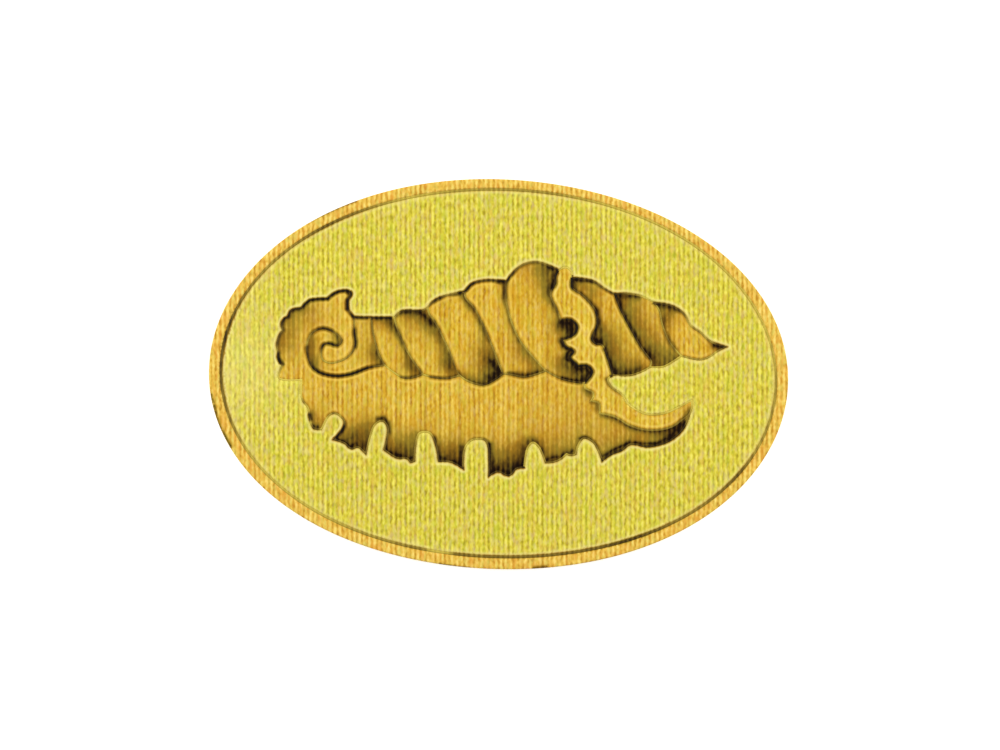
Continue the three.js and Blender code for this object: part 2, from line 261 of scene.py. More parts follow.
# %% Where the leaves were dipped
DIPS = {
    # name of the dip, how dark it got, how far the heat reached, places along the edge
    "shell_body": [
        ("crown rim", 0.28, 2.4, (-35.7, 3.8), (-35.5, 6.8), (-34.4, 8.8), (-32.3, 9.7)),
        ("crown nick", 0.95, 0.25, (-36.1, 1.5), (-35.5, 0.7)),
        ("crown tip", 0.9, 0.25, (-25.2, 12.7), (-24.9, 12.4)),
        ("crown roll end", 0.9, 0.25, (-25.2, 11.4), (-25.2, 9.9)),
        ("first spine", 0.34, 1.7, (-30.5, -7.5), (-29.3, -9.5)),
        ("first spine spots", 0.95, 0.25, (-30.7, -7.5), (-30.4, -8.3)),
        ("first spine foot", 0.85, 0.25, (-30.1, -9.4), (-29.3, -9.5)),
        ("second spine", 0.52, 2, (-24.6, -11.5), (-23, -10.8), (-21.6, -12.6)),
        ("second spine, right", 0.24, 1.4, (-20.9, -8.8), (-21.4, -10.8), (-21.5, -12.7)),
        ("second spine, left", 0.95, 0.25, (-25.2, -8.9), (-26.4, -11.2)),
        ("second spine foot", 0.97, 0.3, (-25.9, -11.6), (-24.8, -11.9), (-23.9, -12.6),
            (-23.1, -12.1)),
        ("second finger arch", 0.75, 0.35, (-19.5, -7.9), (-18.5, -7.7), (-17.8, -8.5),
            (-17.7, -10)),
        ("third spine", 0.55, 2.7, (-17.7, -13.6), (-15.7, -13.1), (-13.7, -13.8)),
        ("third spine, left", 0.85, 0.3, (-18.3, -11.5), (-18.2, -12.8)),
        ("third spine foot", 0.85, 0.3, (-18, -12.9), (-16.7, -13.6), (-15.2, -13.8)),
        ("third spine drop", 1, 0.3, (-14.1, -14.2), (-13.8, -14.1)),
        ("third spine, right", 0.25, 1.2, (-13.6, -10.5), (-13.5, -13.2)),
        ("third finger side", 0.9, 0.25, (-10.2, -10.8), (-9.8, -12.2), (-9.5, -13.8)),
        ("fourth spine", 0.58, 2.8, (-9, -14), (-7.4, -13.8), (-5.7, -14.5)),
        ("fourth spine foot", 0.97, 0.3, (-9.2, -14), (-8.2, -14.1)),
        ("fourth spine drop", 0.9, 0.45, (-7, -14.6), (-5.7, -15)),
        ("fourth spine, right", 0.65, 0.4, (-5.7, -12.1), (-5.6, -14.9)),
        ("fourth finger side", 0.97, 0.3, (-1.1, -11.5), (-0.9, -16.4)),
        ("fifth spine", 0.74, 3.2, (-0.4, -15.7), (1.8, -15.3), (4.1, -14.6)),
        ("fifth spine foot", 1, 0.4, (-0.8, -16.2), (0.4, -15.5), (1.4, -15.9), (2.4, -16.1),
            (3.3, -15), (4.3, -14.7)),
        ("fifth spine, right", 0.2, 0.6, (4.4, -11.9), (4.3, -14.4)),
        ("fifth finger arch", 0.45, 0.45, (4.7, -12.3), (5.1, -10.9), (5.8, -10.6), (6.8, -11),
            (7.6, -12.7)),
        ("sixth spine", 0.32, 2.9, (8.3, -13.8), (10.4, -13.2), (12.6, -12.5)),
        ("sixth spine foot", 0.85, 0.3, (8.2, -13.8), (9.3, -13.3), (10.6, -13.2), (11.1, -12.6)),
        ("sixth spine heel", 0.85, 0.3, (11.9, -12.5), (12.5, -12.2)),
        ("sixth finger arch", 0.8, 0.2, (13.6, -10.1), (14.4, -9.8), (15.4, -10.3), (16.3, -11.3),
            (17, -12.7)),
        ("tail foot, brown", 0.22, 3.2, (17.1, -12.7), (19.4, -11.5), (22.1, -10.3), (27, -10)),
        ("tail foot, black", 0.9, 0.3, (17.3, -13), (18.1, -12.5), (19.1, -11.8), (20.2, -11.3),
            (21.7, -10.5)),
        ("tail hem", 0.85, 0.25, (22.6, -10.5), (24.1, -10.6), (26.1, -10.5), (27.8, -9.7)),
        ("tail tip", 0.95, 0.7, (28.5, -9.3), (29.4, -8.2), (30.7, -7.1)),
        ("tail tip, brown", 0.3, 2.2, (27.3, -9.3), (29.9, -7.7)),
        ("under the teeth", 0.55, 0.6, (14.4, -2.1), (15, -2.7)),
        ("seat hook", 0.4, 0.5, (15.6, -4.1), (16.2, -4.4), (16.3, -5.2)),
        ("right wash", 0.1, 8, (12.7, -6.3), (16.9, -9)),
        ("crown wash", 0.1, 4, (-34.6, 5.3), (-29.8, 7.9)),
        ("under the tail", 0.55, 0.45, (17.1, -6.1), (19.4, -6.7), (22.1, -8.1), (24.2, -8.6),
            (27, -8.5), (29.9, -7.4)),
    ],
    "shell_whorl_1": [
        ("crescent", 0.42, 1.4, (-31, 4.6), (-31, 2.7), (-30.2, 0.7)),
        ("hook end", 0.5, 0.7, (-26.6, 5.3), (-26.3, 4.6)),
        ("right foot", 0.5, 1.3, (-20.1, 2.8), (-19.1, 1.2)),
        ("wash", 0.16, 3.2, (-21.1, 7.9), (-20.2, 4.3)),
    ],
    "shell_whorl_2": [
        ("top", 0.22, 1.6, (-20.8, 8.4), (-17.7, 8.5)),
        ("top right", 0.5, 1.1, (-18.2, 8.3), (-17.3, 7.3)),
        ("right side", 0.42, 0.7, (-17.2, 7.4), (-16, 4.8), (-14.6, 2)),
        ("foot", 0.55, 1.4, (-14.2, 0.9), (-13, -0.4)),
    ],
    "shell_whorl_3": [
        ("corner, black", 0.85, 0.6, (-13, 9.6), (-12, 8.8), (-11.1, 7.9)),
        ("corner, olive", 0.32, 2.5, (-14.1, 9.2), (-11.5, 7.7)),
        ("right side", 0.38, 0.9, (-11, 7.9), (-9.6, 5.1), (-7.7, 1.3)),
        ("foot", 0.5, 1.4, (-8.3, 1.4), (-7, -0.2)),
        ("top", 0.6, 0.5, (-16.6, 9.5), (-13.2, 9.8)),
    ],
    "shell_whorl_4": [
        ("top", 0.5, 0.4, (-11.4, 11.5), (-10, 12.2)),
        ("top corner", 0.85, 0.3, (-7.7, 12.9), (-6.2, 13.3)),
        ("top right", 0.6, 0.7, (-6.2, 13.1), (-5.9, 12.3), (-5, 11.2)),
        ("right side", 0.45, 0.6, (-4.7, 10.8), (-3.5, 8.8), (-2.1, 5.7)),
        ("foot, black", 1, 0.8, (-1.1, 2), (0.1, 0.4), (-1.2, -0.7)),
        ("foot, olive", 0.45, 2.2, (-2, 3.4), (-1.6, -0.4)),
        ("left foot", 0.42, 1, (-6.1, -0.5), (-4.5, -1.4), (-2.7, -1.7)),
    ],
    "shell_whorl_5": [
        ("top left", 0.8, 0.25, (-5.9, 13.6), (-5, 14.8)),
        ("right foot", 0.36, 2.2, (4, 4.1), (6.7, 1.2)),
        ("saddle", 0.6, 0.45, (1.9, 0.2), (4.2, 0), (6.4, 0.5)),
        ("top right", 0.9, 0.4, (-0.6, 15.3), (0.4, 15.1)),
        ("right side", 0.6, 0.4, (0.4, 14.8), (0.4, 12.5)),
        ("right side, low", 0.35, 0.6, (0.7, 11.8), (1.6, 8.6), (3.2, 5.7)),
    ],
    "shell_whorl_6": [
        ("top", 0.16, 2.6, (3.8, 17.6), (7.6, 16.9)),
        ("top right, black", 0.95, 0.4, (7.7, 17.8), (8.9, 17.3), (8.6, 15.5), (8.1, 14.3)),
        ("top right, brown", 0.42, 2, (7.4, 17.3), (8.1, 14)),
        ("right side", 0.45, 0.5, (7.8, 13.7), (8.2, 12.4), (9.1, 10.6)),
        ("bite", 0.97, 0.6, (10.1, 8.7), (11.3, 8.7), (11.9, 7.9), (11.6, 7.1)),
        ("bite, brown", 0.72, 1.5, (10.3, 8.2), (11.4, 7.7)),
        ("teeth", 1, 0.35, (10, 5.7), (10.5, 4.9), (11.5, 4.3), (11.1, 3.5), (10.9, 2.8),
            (12.1, 2.5), (12.5, 1.5)),
        ("toe, black", 1, 0.6, (13.1, 1.2), (14.4, 1.4), (14.8, 0.6), (14, -0.4)),
        ("toe, olive", 0.55, 2.2, (11, 1.7), (13.6, 0.1)),
        ("saddle", 0.85, 0.3, (10.4, -0.3), (11.9, -0.6), (13.8, -0.7)),
    ],
    "shell_lip": [
        ("notch", 0.45, 0.5, (17.7, -0.3), (18.3, -1.2), (19.9, -2.2)),
        ("tail end", 0.5, 0.8, (31.3, -5.2), (30.9, -6.4)),
    ],
    "shell_whorl_7": [
        ("top left", 0.97, 0.35, (11.8, 14.1), (11.8, 15.8), (12.8, 15.8)),
        ("top", 0.8, 0.25, (12.8, 15.7), (15.1, 15.6)),
        ("top, brown", 0.32, 1.8, (12.2, 15.1), (14.9, 13.9)),
        ("lip side", 0.6, 0.5, (12.9, 13.2), (15.3, 11.3)),
        ("lip side, black", 0.97, 0.3, (15.8, 11), (16, 9.3), (15.9, 8.2)),
        ("lip nick", 0.97, 0.4, (15.4, 7), (15.4, 6.2), (16.4, 5.7)),
        ("lip nick, grey", 0.42, 1.3, (16.4, 7.7), (16.6, 6.1)),
        ("lower left, black", 0.97, 0.45, (17.1, 4.5), (17.7, 3.2), (18.4, 1.9), (18.9, 0.9)),
        ("lower left, olive", 0.5, 3.2, (17.4, 4.5), (18.7, 1.6), (21, 0.8)),
        ("foot", 0.5, 0.7, (19.2, 0.8), (21.5, 0.8), (23.1, 1.7)),
    ],
    "shell_whorl_8": [
        ("top left", 1, 0.5, (18.8, 13.5), (19.2, 11.9)),
        ("top", 0.65, 0.5, (19.1, 13.4), (22.4, 13.4)),
        ("left side, black", 0.92, 0.4, (19.2, 12.1), (20.6, 9.5), (21.9, 7.1), (23.1, 5.1),
            (24.2, 4)),
        ("left side, olive", 0.42, 3.2, (19.5, 12.7), (21.6, 8.7), (24, 4.7)),
        ("foot, black", 0.7, 0.5, (24.3, 4.4), (25, 3.4)),
        ("foot, olive", 0.45, 2.2, (25.2, 2.8), (27.6, 3), (29.1, 3.7)),
    ],
    "shell_whorl_9": [
        ("top left, black", 0.9, 0.35, (25.5, 12.3), (27.2, 12), (28.7, 11.5)),
        ("top left, olive", 0.45, 1.7, (26, 11.8), (27.7, 11.5), (26.9, 9.7)),
        ("left side", 0.3, 0.6, (26.3, 10), (27.3, 7.4), (29, 5)),
        ("tip", 1, 0.6, (35.1, 5.8), (36.5, 5.6)),
    ],
}
print("dips on the leaves:", {name: len(rows) for name, rows in DIPS.items()})

# %% [markdown]
# Two dips that overlap darken each other, but never past black: what is left of
# the bare wood after one dip is scorched again by the next. So the light that is
# left over is multiplied, and the darkness is what is missing from one.

# %% How dark the dips make each point
LEAF_FALL = 1.3


def fading(far, reach, fall=2):
    """One at no distance, half gone within the reach, and then fading to nothing."""
    return np.exp(-((far / reach) ** fall))


def along_line(points, a, b):
    """How far each point is from a straight stretch, and where on it the nearest place is."""
    share = np.clip((points - a) @ (b - a) / ((b - a) @ (b - a)), 0, 1)
    return np.linalg.norm(points - a - share[:, None] * (b - a), axis=1), share


def scorched(points, dips):
    """Darkness from 0 to 1 at each point, from all the dips together."""
    bare = np.ones(len(points))
    for _, strength, reach, *line in dips:
        line = np.array(line)
        far = np.min([along_line(points, a, b)[0] for a, b in zip(line, line[1:])], axis=0)
        bare *= 1 - strength * fading(far, reach, LEAF_FALL)
    return 1 - bare


eighth = scorched(leaf_rims["shell_whorl_8"], DIPS["shell_whorl_8"])
print("darkness round the eighth leaf:", round(eighth.min(), 2), "to", round(eighth.max(), 2))

# %% [markdown]
# Glue in the seams
#
# Dark glue fills the saw cuts. It is black in some places and hardly seen in
# others, as it was rubbed in by hand and sanded off again. Each seam is followed
# by a few places, given as x, y and how dark the glue is there, and the darkness
# changes evenly from one place to the next.

# %% How dark the glue is along the seams
SEAMS = {
    # places along each seam, and how dark the glue is there
    "crown": [(-32.4, -1.8, 0.05), (-35.2, -1.9, 0.05), (-36.1, -1.4, 0.21), (-35.6, 0.2, 0.53),
        (-35.6, 0.6, 1), (-36.3, 2.2, 0.95), (-36.5, 2.8, 0.53), (-36.6, 4, 0.79),
        (-36.4, 5.1, 0.73), (-35.8, 6.1, 0.73), (-35.9, 7.3, 0.91), (-35.5, 8.1, 0.95),
        (-34.8, 8.6, 0.91), (-34.4, 9.4, 0.9), (-33, 9.8, 0.9), (-31.7, 11, 1), (-31, 11.3, 1),
        (-29.7, 11.5, 0.95), (-28.4, 11.6, 1), (-27.2, 12.6, 1), (-25.9, 13, 1), (-24.9, 12.8, 1),
        (-24.9, 12.2, 1), (-25, 11.7, 0.9), (-25.1, 11, 1), (-25.1, 9.9, 1), (-24.8, 9.4, 0.74),
        (-24.1, 8.6, 1)],
    "first rims": [(-24.1, 8.6, 1), (-23.3, 8.6, 0.88), (-18, 8.7, 0.99), (-17.4, 9, 0.52),
        (-16.8, 9.7, 0.57), (-16.1, 9.8, 0.83), (-13.2, 10, 0.94), (-12.5, 10.2, 0.62),
        (-12, 10.5, 0.52)],
    "fourth rim": [(-12, 10.5, 0.5), (-11.6, 11.3, 0.7), (-11.1, 11.7, 0.85), (-10, 12.3, 0.85),
        (-9, 12.7, 0.6), (-7.4, 13.1, 0.65), (-6.7, 13.2, 1), (-6.1, 13.4, 1)],
    "fifth rim": [(-6.1, 13.4, 1), (-5.1, 14.8, 1), (-4.5, 15.1, 0.85), (-2.5, 15.5, 0.8),
        (-0.7, 15.5, 0.85), (-0.1, 15.4, 1), (0.7, 15.3, 1)],
    "sixth rim": [(0.7, 15.3, 0.92), (1.8, 16.9, 0.83), (2.8, 17.7, 0.64), (4.6, 18.3, 0.64),
        (7, 18.2, 0.64), (7.9, 17.9, 0.87), (9, 17.5, 0.92)],
    "lip top": [(9, 17.5, 0.9), (9.7, 17.3, 0.1), (11.3, 16.2, 0.1)],
    "far rims": [(11.4, 16.1, 0.9), (14.5, 15.9, 0.85), (16.8, 14.9, 0.63), (18.3, 13.8, 0.81),
        (18.6, 13.7, 0.9), (19.8, 13.6, 0.85), (20.8, 13.6, 0.63), (22.2, 13.5, 0.59),
        (23.4, 13, 0.23), (24.7, 12.6, 0.32)],
    "ninth rim": [(24.9, 12.6, 0.59), (25.7, 12.3, 0.85), (27.3, 12.1, 0.85), (28.7, 11.6, 0.81),
        (30, 10.6, 0.64), (30.5, 9.8, 0.51), (31, 9, 0.3), (31.7, 8.5, 0.55), (32.4, 8, 0.55),
        (33.4, 7.3, 0.42), (34.2, 6.7, 0.59), (34.9, 6.3, 0.51), (35.4, 6.3, 0.85),
        (37, 5.6, 0.85)],
    "tip underside": [(37, 5.6, 0.88), (36.1, 5, 0.62), (35.4, 4.5, 0.35), (33.8, 3.7, 0.48),
        (32.4, 3.5, 0.53), (30.2, 4.1, 0.44)],
    "roll in": [(-24.1, 8.6, 1), (-24, 8, 0.6), (-24, 7, 0.6), (-23.9, 6.5, 1), (-23.8, 3.9, 1),
        (-24, 3.4, 0.7), (-24.9, 2.2, 0.55), (-26.6, 1.3, 0.45), (-28.1, 1.2, 0.4), (-29, 1.6, 0.4),
        (-29.3, 2.4, 0.6), (-29.3, 3.7, 0.9), (-28.9, 4.2, 0.95), (-28.2, 4.3, 0.85),
        (-27.5, 4.1, 1), (-26.7, 4.1, 0.9), (-26.1, 4.6, 0.7), (-26.3, 5.1, 0.6), (-27.1, 6.1, 0.7),
        (-27.8, 6.5, 0.95), (-29.1, 6.7, 0.95), (-30.1, 6.3, 0.75), (-30.9, 5.7, 0.7),
        (-31.3, 5, 0.5), (-31.6, 4.1, 0.45), (-31.5, 3.5, 0.85), (-31.4, 2.5, 0.8),
        (-31.2, 1.5, 0.8), (-30.4, 0.2, 0.95), (-28.9, -0.7, 1), (-26.7, -1, 1), (-24, -0.5, 1),
        (-21.5, 0.4, 1), (-20.4, 0.7, 0.8), (-18.8, 0.9, 0.6)],
    "first rib": [(-21.4, 8.5, 0.6), (-21.1, 6.6, 0.6), (-20.4, 4.1, 0.6), (-19.6, 2.4, 0.6),
        (-18.8, 0.9, 0.7)],
    "second rib": [(-17.5, 8.8, 0.4), (-17, 7.4, 0.48), (-16.7, 6.5, 0.73), (-15.8, 4.4, 0.73),
        (-15.4, 3.8, 0.53), (-14.4, 2.2, 0.48), (-13.9, 1.4, 0.65), (-12.5, -0.4, 0.69)],
    "third rib": [(-12, 10.5, 0.38), (-11.5, 9.2, 0.53), (-11, 8.2, 0.68), (-10.1, 6.6, 0.65),
        (-9.6, 5.6, 0.49), (-8.4, 3.4, 0.49), (-7.9, 2.4, 0.6), (-6.5, 0, 0.65)],
    "fourth rib": [(-6.1, 13.4, 0.77), (-6, 12.8, 0.46), (-5.4, 11.8, 0.58), (-4.7, 11.2, 0.62),
        (-4.3, 10.5, 0.73), (-4, 9.9, 0.58), (-3.3, 8.8, 0.66), (-2.6, 7.3, 0.73), (-2.1, 6, 0.7),
        (-1.6, 4.9, 0.54), (0.5, 0.5, 0.58)],
    "fifth rib": [(0.7, 15.3, 0.83), (0.6, 12.5, 0.78), (0.8, 11.7, 0.54), (1.2, 10.2, 0.46),
        (1.9, 8.3, 0.46), (2.5, 7.1, 0.54), (4.5, 3.9, 0.5), (7.6, 0.9, 0.41)],
    "lip tear": [(9, 17.3, 1), (8.9, 15.5, 0.95), (8.5, 14.5, 0.95), (8, 13.8, 0.7), (7.8, 13, 0.6),
        (8.5, 12.4, 0.65), (9.1, 11.1, 0.75), (9.4, 10.5, 0.7), (9.7, 9.6, 0.5), (10.1, 9.2, 0.9),
        (11.6, 9.2, 0.95), (12.6, 8.1, 1), (11.8, 6.8, 1), (10.2, 6.1, 0.9), (10.7, 4.9, 1),
        (11.9, 4.1, 1), (11.4, 3.2, 1), (12.8, 1.9, 1), (14.4, 1.8, 1), (15.2, 1, 1),
        (14.2, -0.9, 1)],
    "saddles": [(-18.8, 0.9, 0.54), (-18.1, 0.5, 0.14), (-16.4, -0.6, 0.27), (-15.9, -1, 0.72),
        (-14.1, -1.1, 0.77), (-12.7, -0.5, 0.72), (-12, -0.4, 0.18), (-11, -0.8, 0.72),
        (-8.1, -0.9, 0.77), (-6.6, -0.4, 0.54), (-5.8, -0.8, 0.36), (-4.6, -1.4, 0.54),
        (-3.3, -1.7, 0.72), (-2.3, -1.7, 0.85), (-1.1, -1, 0.9), (0.5, 0.2, 0.85), (1, 0.3, 0.45),
        (2, 0.2, 0.72), (4.3, -0.2, 0.81), (5.9, 0.2, 0.68), (7.6, 0.9, 0.54), (9.4, 0, 0.54),
        (10.4, -0.5, 0.81), (13.8, -0.9, 0.85)],
    "seat": [(14, -1, 0.45), (14.2, -1.7, 0.3), (14.7, -2.1, 0.52), (15.2, -2.5, 0.52),
        (15.2, -3.1, 0.3), (14.9, -3.6, 0.11), (15.4, -3.9, 0.45), (16.2, -4.2, 0.56),
        (16.4, -5.4, 0.45), (16.4, -5.9, 0.38), (17.4, -6, 0.49), (19.4, -6.5, 0.49),
        (20.2, -7, 0.6), (21.4, -7.6, 0.45), (22.4, -8, 0.6), (23.4, -8.4, 0.6), (25.8, -8.5, 0.6),
        (28, -8.1, 0.6), (30.5, -6.6, 0.64)],
    "lip right": [(11.5, 15.9, 0.93), (11.7, 14.5, 0.93), (12.2, 14, 0.74), (14.3, 12.2, 0.79),
        (15.3, 11.3, 0.74), (15.6, 10.6, 0.93), (16, 9.3, 0.93), (15.7, 7.7, 0.93),
        (15.1, 6.5, 0.93), (15.8, 5.6, 0.93), (16.6, 5.4, 0.84), (16.7, 4.9, 0.47),
        (16.9, 4.5, 0.93), (17.6, 3.2, 0.93), (18.5, 1.1, 0.93), (18.7, 0.4, 0.84)],
    "eighth seam": [(18.6, 13.7, 0.95), (19, 12.1, 0.95), (20.9, 8.7, 0.9), (22.3, 6.6, 0.9),
        (24, 4.4, 0.76), (24.8, 3.4, 0.85), (25, 2.6, 0.47)],
    "ninth seam": [(25, 12.4, 0.8), (25.6, 11.6, 0.4), (26.1, 10, 0.55), (26.8, 8.4, 0.5),
        (27.3, 7.2, 0.65), (28.4, 5.5, 0.65), (29.2, 4.5, 0.4), (29.7, 3.9, 0.3)],
    "far feet": [(18.7, 0.4, 0.68), (22.3, 0.7, 0.6), (23.9, 1.6, 0.45), (25.7, 2.2, 0.3),
        (27, 2.4, 0.3), (28.6, 3.2, 0.45), (29.6, 3.7, 0.22)],
    "lip notch": [(17.7, 0.1, 0.35), (18.1, -1.1, 0.49), (19.1, -1.8, 0.49), (20.1, -2.5, 0.35),
        (21, -3.8, 0.07)],
    "tail top": [(24.6, -5.9, 0.2), (25.8, -6, 0.35), (27.2, -5.9, 0.3), (28.2, -5.3, 0.1)],
    "tail end": [(31.6, -3.9, 0.18), (31.5, -5.2, 0.53), (30.9, -6.7, 0.66), (30.4, -7.7, 0.88),
        (29.3, -8.9, 0.88), (28, -9.9, 0.88), (25.9, -10.7, 0.88), (23.5, -10.9, 0.88),
        (22.5, -10.7, 0.79), (21.8, -10.6, 0.7), (20.2, -11.6, 0.88), (18.3, -12.3, 0.88),
        (17.3, -13.5, 0.88)],
    "sixth finger": [(17.3, -13.5, 0.71), (16.6, -12.2, 0.59), (15.8, -10.9, 0.67),
        (14.9, -10.3, 0.67), (14.3, -10, 0.75), (13.5, -10.4, 0.47), (13, -11.4, 0.32),
        (12.9, -12.5, 0.47)],
    "sixth foot": [(12.9, -12.8, 0.52), (11.9, -13.1, 0.64), (11.4, -12.8, 0.3), (10.8, -13.4, 0.6),
        (10.3, -13.7, 0.56), (8.2, -14.2, 0.71)],
    "fifth finger": [(8, -14.1, 0.57), (7.3, -12.4, 0.5), (6.6, -11.3, 0.32), (5.6, -10.9, 0.41),
        (5, -11.4, 0.47), (4.6, -12.3, 0.32), (4.6, -14.7, 0.44)],
    "fifth foot": [(4.4, -15.1, 0.85), (3.3, -15.4, 0.85), (2.4, -16.5, 0.85), (1.5, -16.5, 0.85),
        (0.4, -15.9, 0.85), (-1.1, -16.7, 0.85)],
    "fourth finger": [(-1.2, -16.5, 0.83), (-1.4, -11.8, 0.83), (-1.6, -11.2, 0.66),
        (-2.1, -10.8, 0.66), (-2.7, -10.6, 0.42), (-4.3, -10.9, 0.37), (-5, -11.7, 0.17),
        (-5.3, -12.6, 0.5), (-5.4, -15.2, 0.7)],
    "fourth foot": [(-5.4, -15.4, 0.85), (-6.7, -15.2, 0.85), (-7.7, -14.6, 0.68),
        (-8.2, -14.5, 0.85), (-9.5, -14.5, 0.85)],
    "third finger": [(-9.6, -14.3, 0.86), (-10, -12.1, 0.78), (-10.3, -10.9, 0.78),
        (-10.8, -10.2, 0.34), (-11.3, -9.8, 0.25), (-12.7, -9.9, 0.25), (-13.3, -10.5, 0.44),
        (-13.5, -11.8, 0.52), (-13.4, -14.5, 0.69)],
    "third foot": [(-13.4, -14.6, 0.76), (-14.2, -14.7, 0.76), (-14.7, -14.2, 0.76),
        (-16.4, -14.1, 0.72), (-17.9, -13.4, 0.72), (-18.5, -12.9, 0.72)],
    "second finger": [(-18.5, -12.7, 0.73), (-18.1, -10.7, 0.69), (-18, -9.4, 0.73),
        (-18.2, -8.5, 0.69), (-19, -8.1, 0.62), (-19.8, -8.5, 0.44), (-20.6, -9.6, 0.37),
        (-21, -11.1, 0.44), (-21.5, -13.2, 0.58)],
    "second foot": [(-21.6, -13.6, 0.72), (-22.6, -12.6, 0.72), (-23.9, -13, 0.8),
        (-24.9, -12.2, 0.76), (-25.9, -11.9, 0.76), (-26.7, -11.4, 0.8)],
    "first finger": [(-26.7, -11.3, 1), (-25.9, -10.3, 1), (-25.3, -9.3, 1), (-25.3, -8.4, 0.6),
        (-25.9, -7.5, 0.4), (-26.7, -7.2, 0.6), (-27.4, -7.4, 0.5), (-28, -8.2, 0.2),
        (-28.8, -9.7, 0.3)],
    "first spine": [(-28.9, -9.9, 0.55), (-29.4, -10, 0.78), (-30.2, -9.7, 0.78),
        (-30.6, -8.9, 0.37), (-30.8, -8.4, 0.83), (-31, -7.5, 0.87), (-31.1, -7, 0.28),
        (-31.2, -6.2, 0.28), (-31.6, -5.5, 0.6), (-32.2, -4.9, 0.28), (-32.3, -3.6, 0.09)],
}
print("seams:", len(SEAMS), "with", sum(len(s) for s in SEAMS.values()), "places")


# %% Darkness of the nearest seam
def seam_darkness(points):
    """How dark the glue is at the place on a seam that is nearest to each point."""
    nearest = np.full(len(points), np.inf)
    dark = np.zeros(len(points))
    for seam in SEAMS.values():
        for a, b in zip(np.array(seam), np.array(seam)[1:]):
            far, share = along_line(points, a[:2], b[:2])
            dark = np.where(far < nearest, a[2] + share * (b[2] - a[2]), dark)
            nearest = np.minimum(far, nearest)
    return dark


print("glue at the tip of the shell:", seam_darkness(np.array([[37.0, 5.6]])).round(2))

# %% [markdown]
# The glue also creeps a little way into the wood. A black seam has a soot-dark
# edge on both sides, most of all on a side that was lightly dipped and on the
# shell's outer rim, while wood that is scorched through hardly gets darker.
# Beside it a thin pale line is painted where the wood is not scorched, a painted
# highlight along the seam. Both follow from the darkness of the seam and the distance
# to the rim, so one rule draws them all the way round every leaf.

# %% Burn and painted highlight along the rims
CREEP_STRENGTH = 0.85
CREEP_WIDTH = 0.28
CREEP_LEAST = 0.7
SCORCH_HIDES = 0.6
# A dip of a quarter counts in full, and so does wood within 0.4 mm of the outer rim.
DIP_COUNTS = 4
OUTER_COUNTS = 3
OUTER_REACH = 0.6
# The painted highlight beside the seams: how bright, how far in, how much farther on a dipped side,
# and how wide.
HIGHLIGHT_STRENGTH = 0.65
HIGHLIGHT_PLACE = 0.3
HIGHLIGHT_SHIFT = 0.2
HIGHLIGHT_WIDTH = 0.2


def shading(corners, rims, dips):
    """How scorched a leaf is at each corner, and how much painted highlight it gets there."""
    dipped = scorched(corners, dips)
    soot = seam_darkness(corners)
    edge = rim_distance(corners, rims)
    outer = np.clip(OUTER_COUNTS * (1 - rim_distance(corners, [opening]) / OUTER_REACH), 0, 1)
    side = np.maximum(np.clip(DIP_COUNTS * dipped, CREEP_LEAST, 1), outer)
    side *= 1 - SCORCH_HIDES * dipped
    creep = CREEP_STRENGTH * soot**2 * side * fading(edge, CREEP_WIDTH)
    # Painted highlight: a pale line a little inside the rim, beside dark seams, where the wood is
    # not scorched.
    off = edge - HIGHLIGHT_PLACE - HIGHLIGHT_SHIFT * side
    raw = HIGHLIGHT_STRENGTH * soot * fading(off, HIGHLIGHT_WIDTH) * (1 - dipped)
    return 1 - (1 - dipped) * (1 - creep), raw


print("a black seam creeps", CREEP_WIDTH, "mm into the wood")

# %% [markdown]
# Round the joint
#
# Between the band and the ground runs a joint a little wider than a saw cut,
# filled with the same glue. It is black at the left end and below on the right,
# pale above on the right, and for a short stretch at the bottom it can hardly be
# seen. Its darkness is read off round the oval, from the right end and upwards.

# %% How dark the joint is round the oval
JOINT_DARKNESS = [
    # angle in degrees, darkness
    (0, 0.48), (10, 0.33), (20, 0.28), (60, 0.28), (70, 0.33), (80, 0.51), (100, 0.45), (110, 0.3),
    (120, 0.59), (130, 0.73), (140, 0.52), (150, 0.55), (160, 0.64), (170, 0.87), (180, 0.73),
    (190, 0.69), (200, 0.53), (210, 0.31), (230, 0.31), (240, 0.45), (255, 0.59), (257, 0.27),
    (260, 0.27), (262, 0.66), (290, 0.69), (300, 0.85), (310, 0.62), (320, 0.6), (330, 0.73),
    (340, 0.5), (350, 0.48),
]


def joint_darkness(points):
    """How dark the band's joint is at the angle of each point round the oval."""
    angle = np.degrees(np.arctan2(points[:, 1] / OVAL_WIDTH, points[:, 0] / OVAL_LENGTH)) % 360
    places, darkness = zip(*JOINT_DARKNESS)
    return np.interp(angle, places, darkness, period=360)


print("joint at the right end:", joint_darkness(np.array([[45.0, 0.0]])).round(2))

# %% [markdown]
# Helpers for node trees
#
# Both the shapes and the finishes are node trees, and each tree is built the same
# way: add a node, set its own options, and feed its inputs with values or with
# the outputs of earlier nodes. Colours are written as the eye sees them on a
# screen, in hex, and one function turns them into the linear light that Blender
# reckons with. Every finish starts from an empty tree.

# %% Turn a colour linear, add a node, start a finish
def linear(colour):
    """The linear red, green, blue and alpha of a hex colour."""
    parts = [int(colour[i:i + 2], 16) / 255 for i in (1, 3, 5)]
    return [c / 12.92 if c <= 0.04045 else ((c + 0.055) / 1.055) ** 2.4 for c in parts] + [1]


def add(tree, kind, inputs=(), stops=(), **settings):
    """A new node, with its options, its colour stops, and its inputs given values or links."""
    node = tree.nodes.new(kind)
    for option, value in settings.items():
        setattr(node, option, value)
    if stops:
        line = node.color_ramp.elements
        while len(line) < len(stops):
            line.new(0.5)
        for element, (place, colour) in zip(line, stops):
            element.position = place
            element.color = linear(colour)
    for place, value in dict(inputs).items():
        if isinstance(value, bpy.types.NodeSocket):
            tree.links.new(value, node.inputs[place])
        else:
            node.inputs[place].default_value = value
    return node


def blank_finish(name):
    """A new material and its node tree, with nothing in it."""
    material = bpy.data.materials.new(name)
    material.use_nodes = True
    material.node_tree.nodes.clear()
    return material, material.node_tree


print("middle grey is", round(linear("#777777")[0], 3), "in linear light")

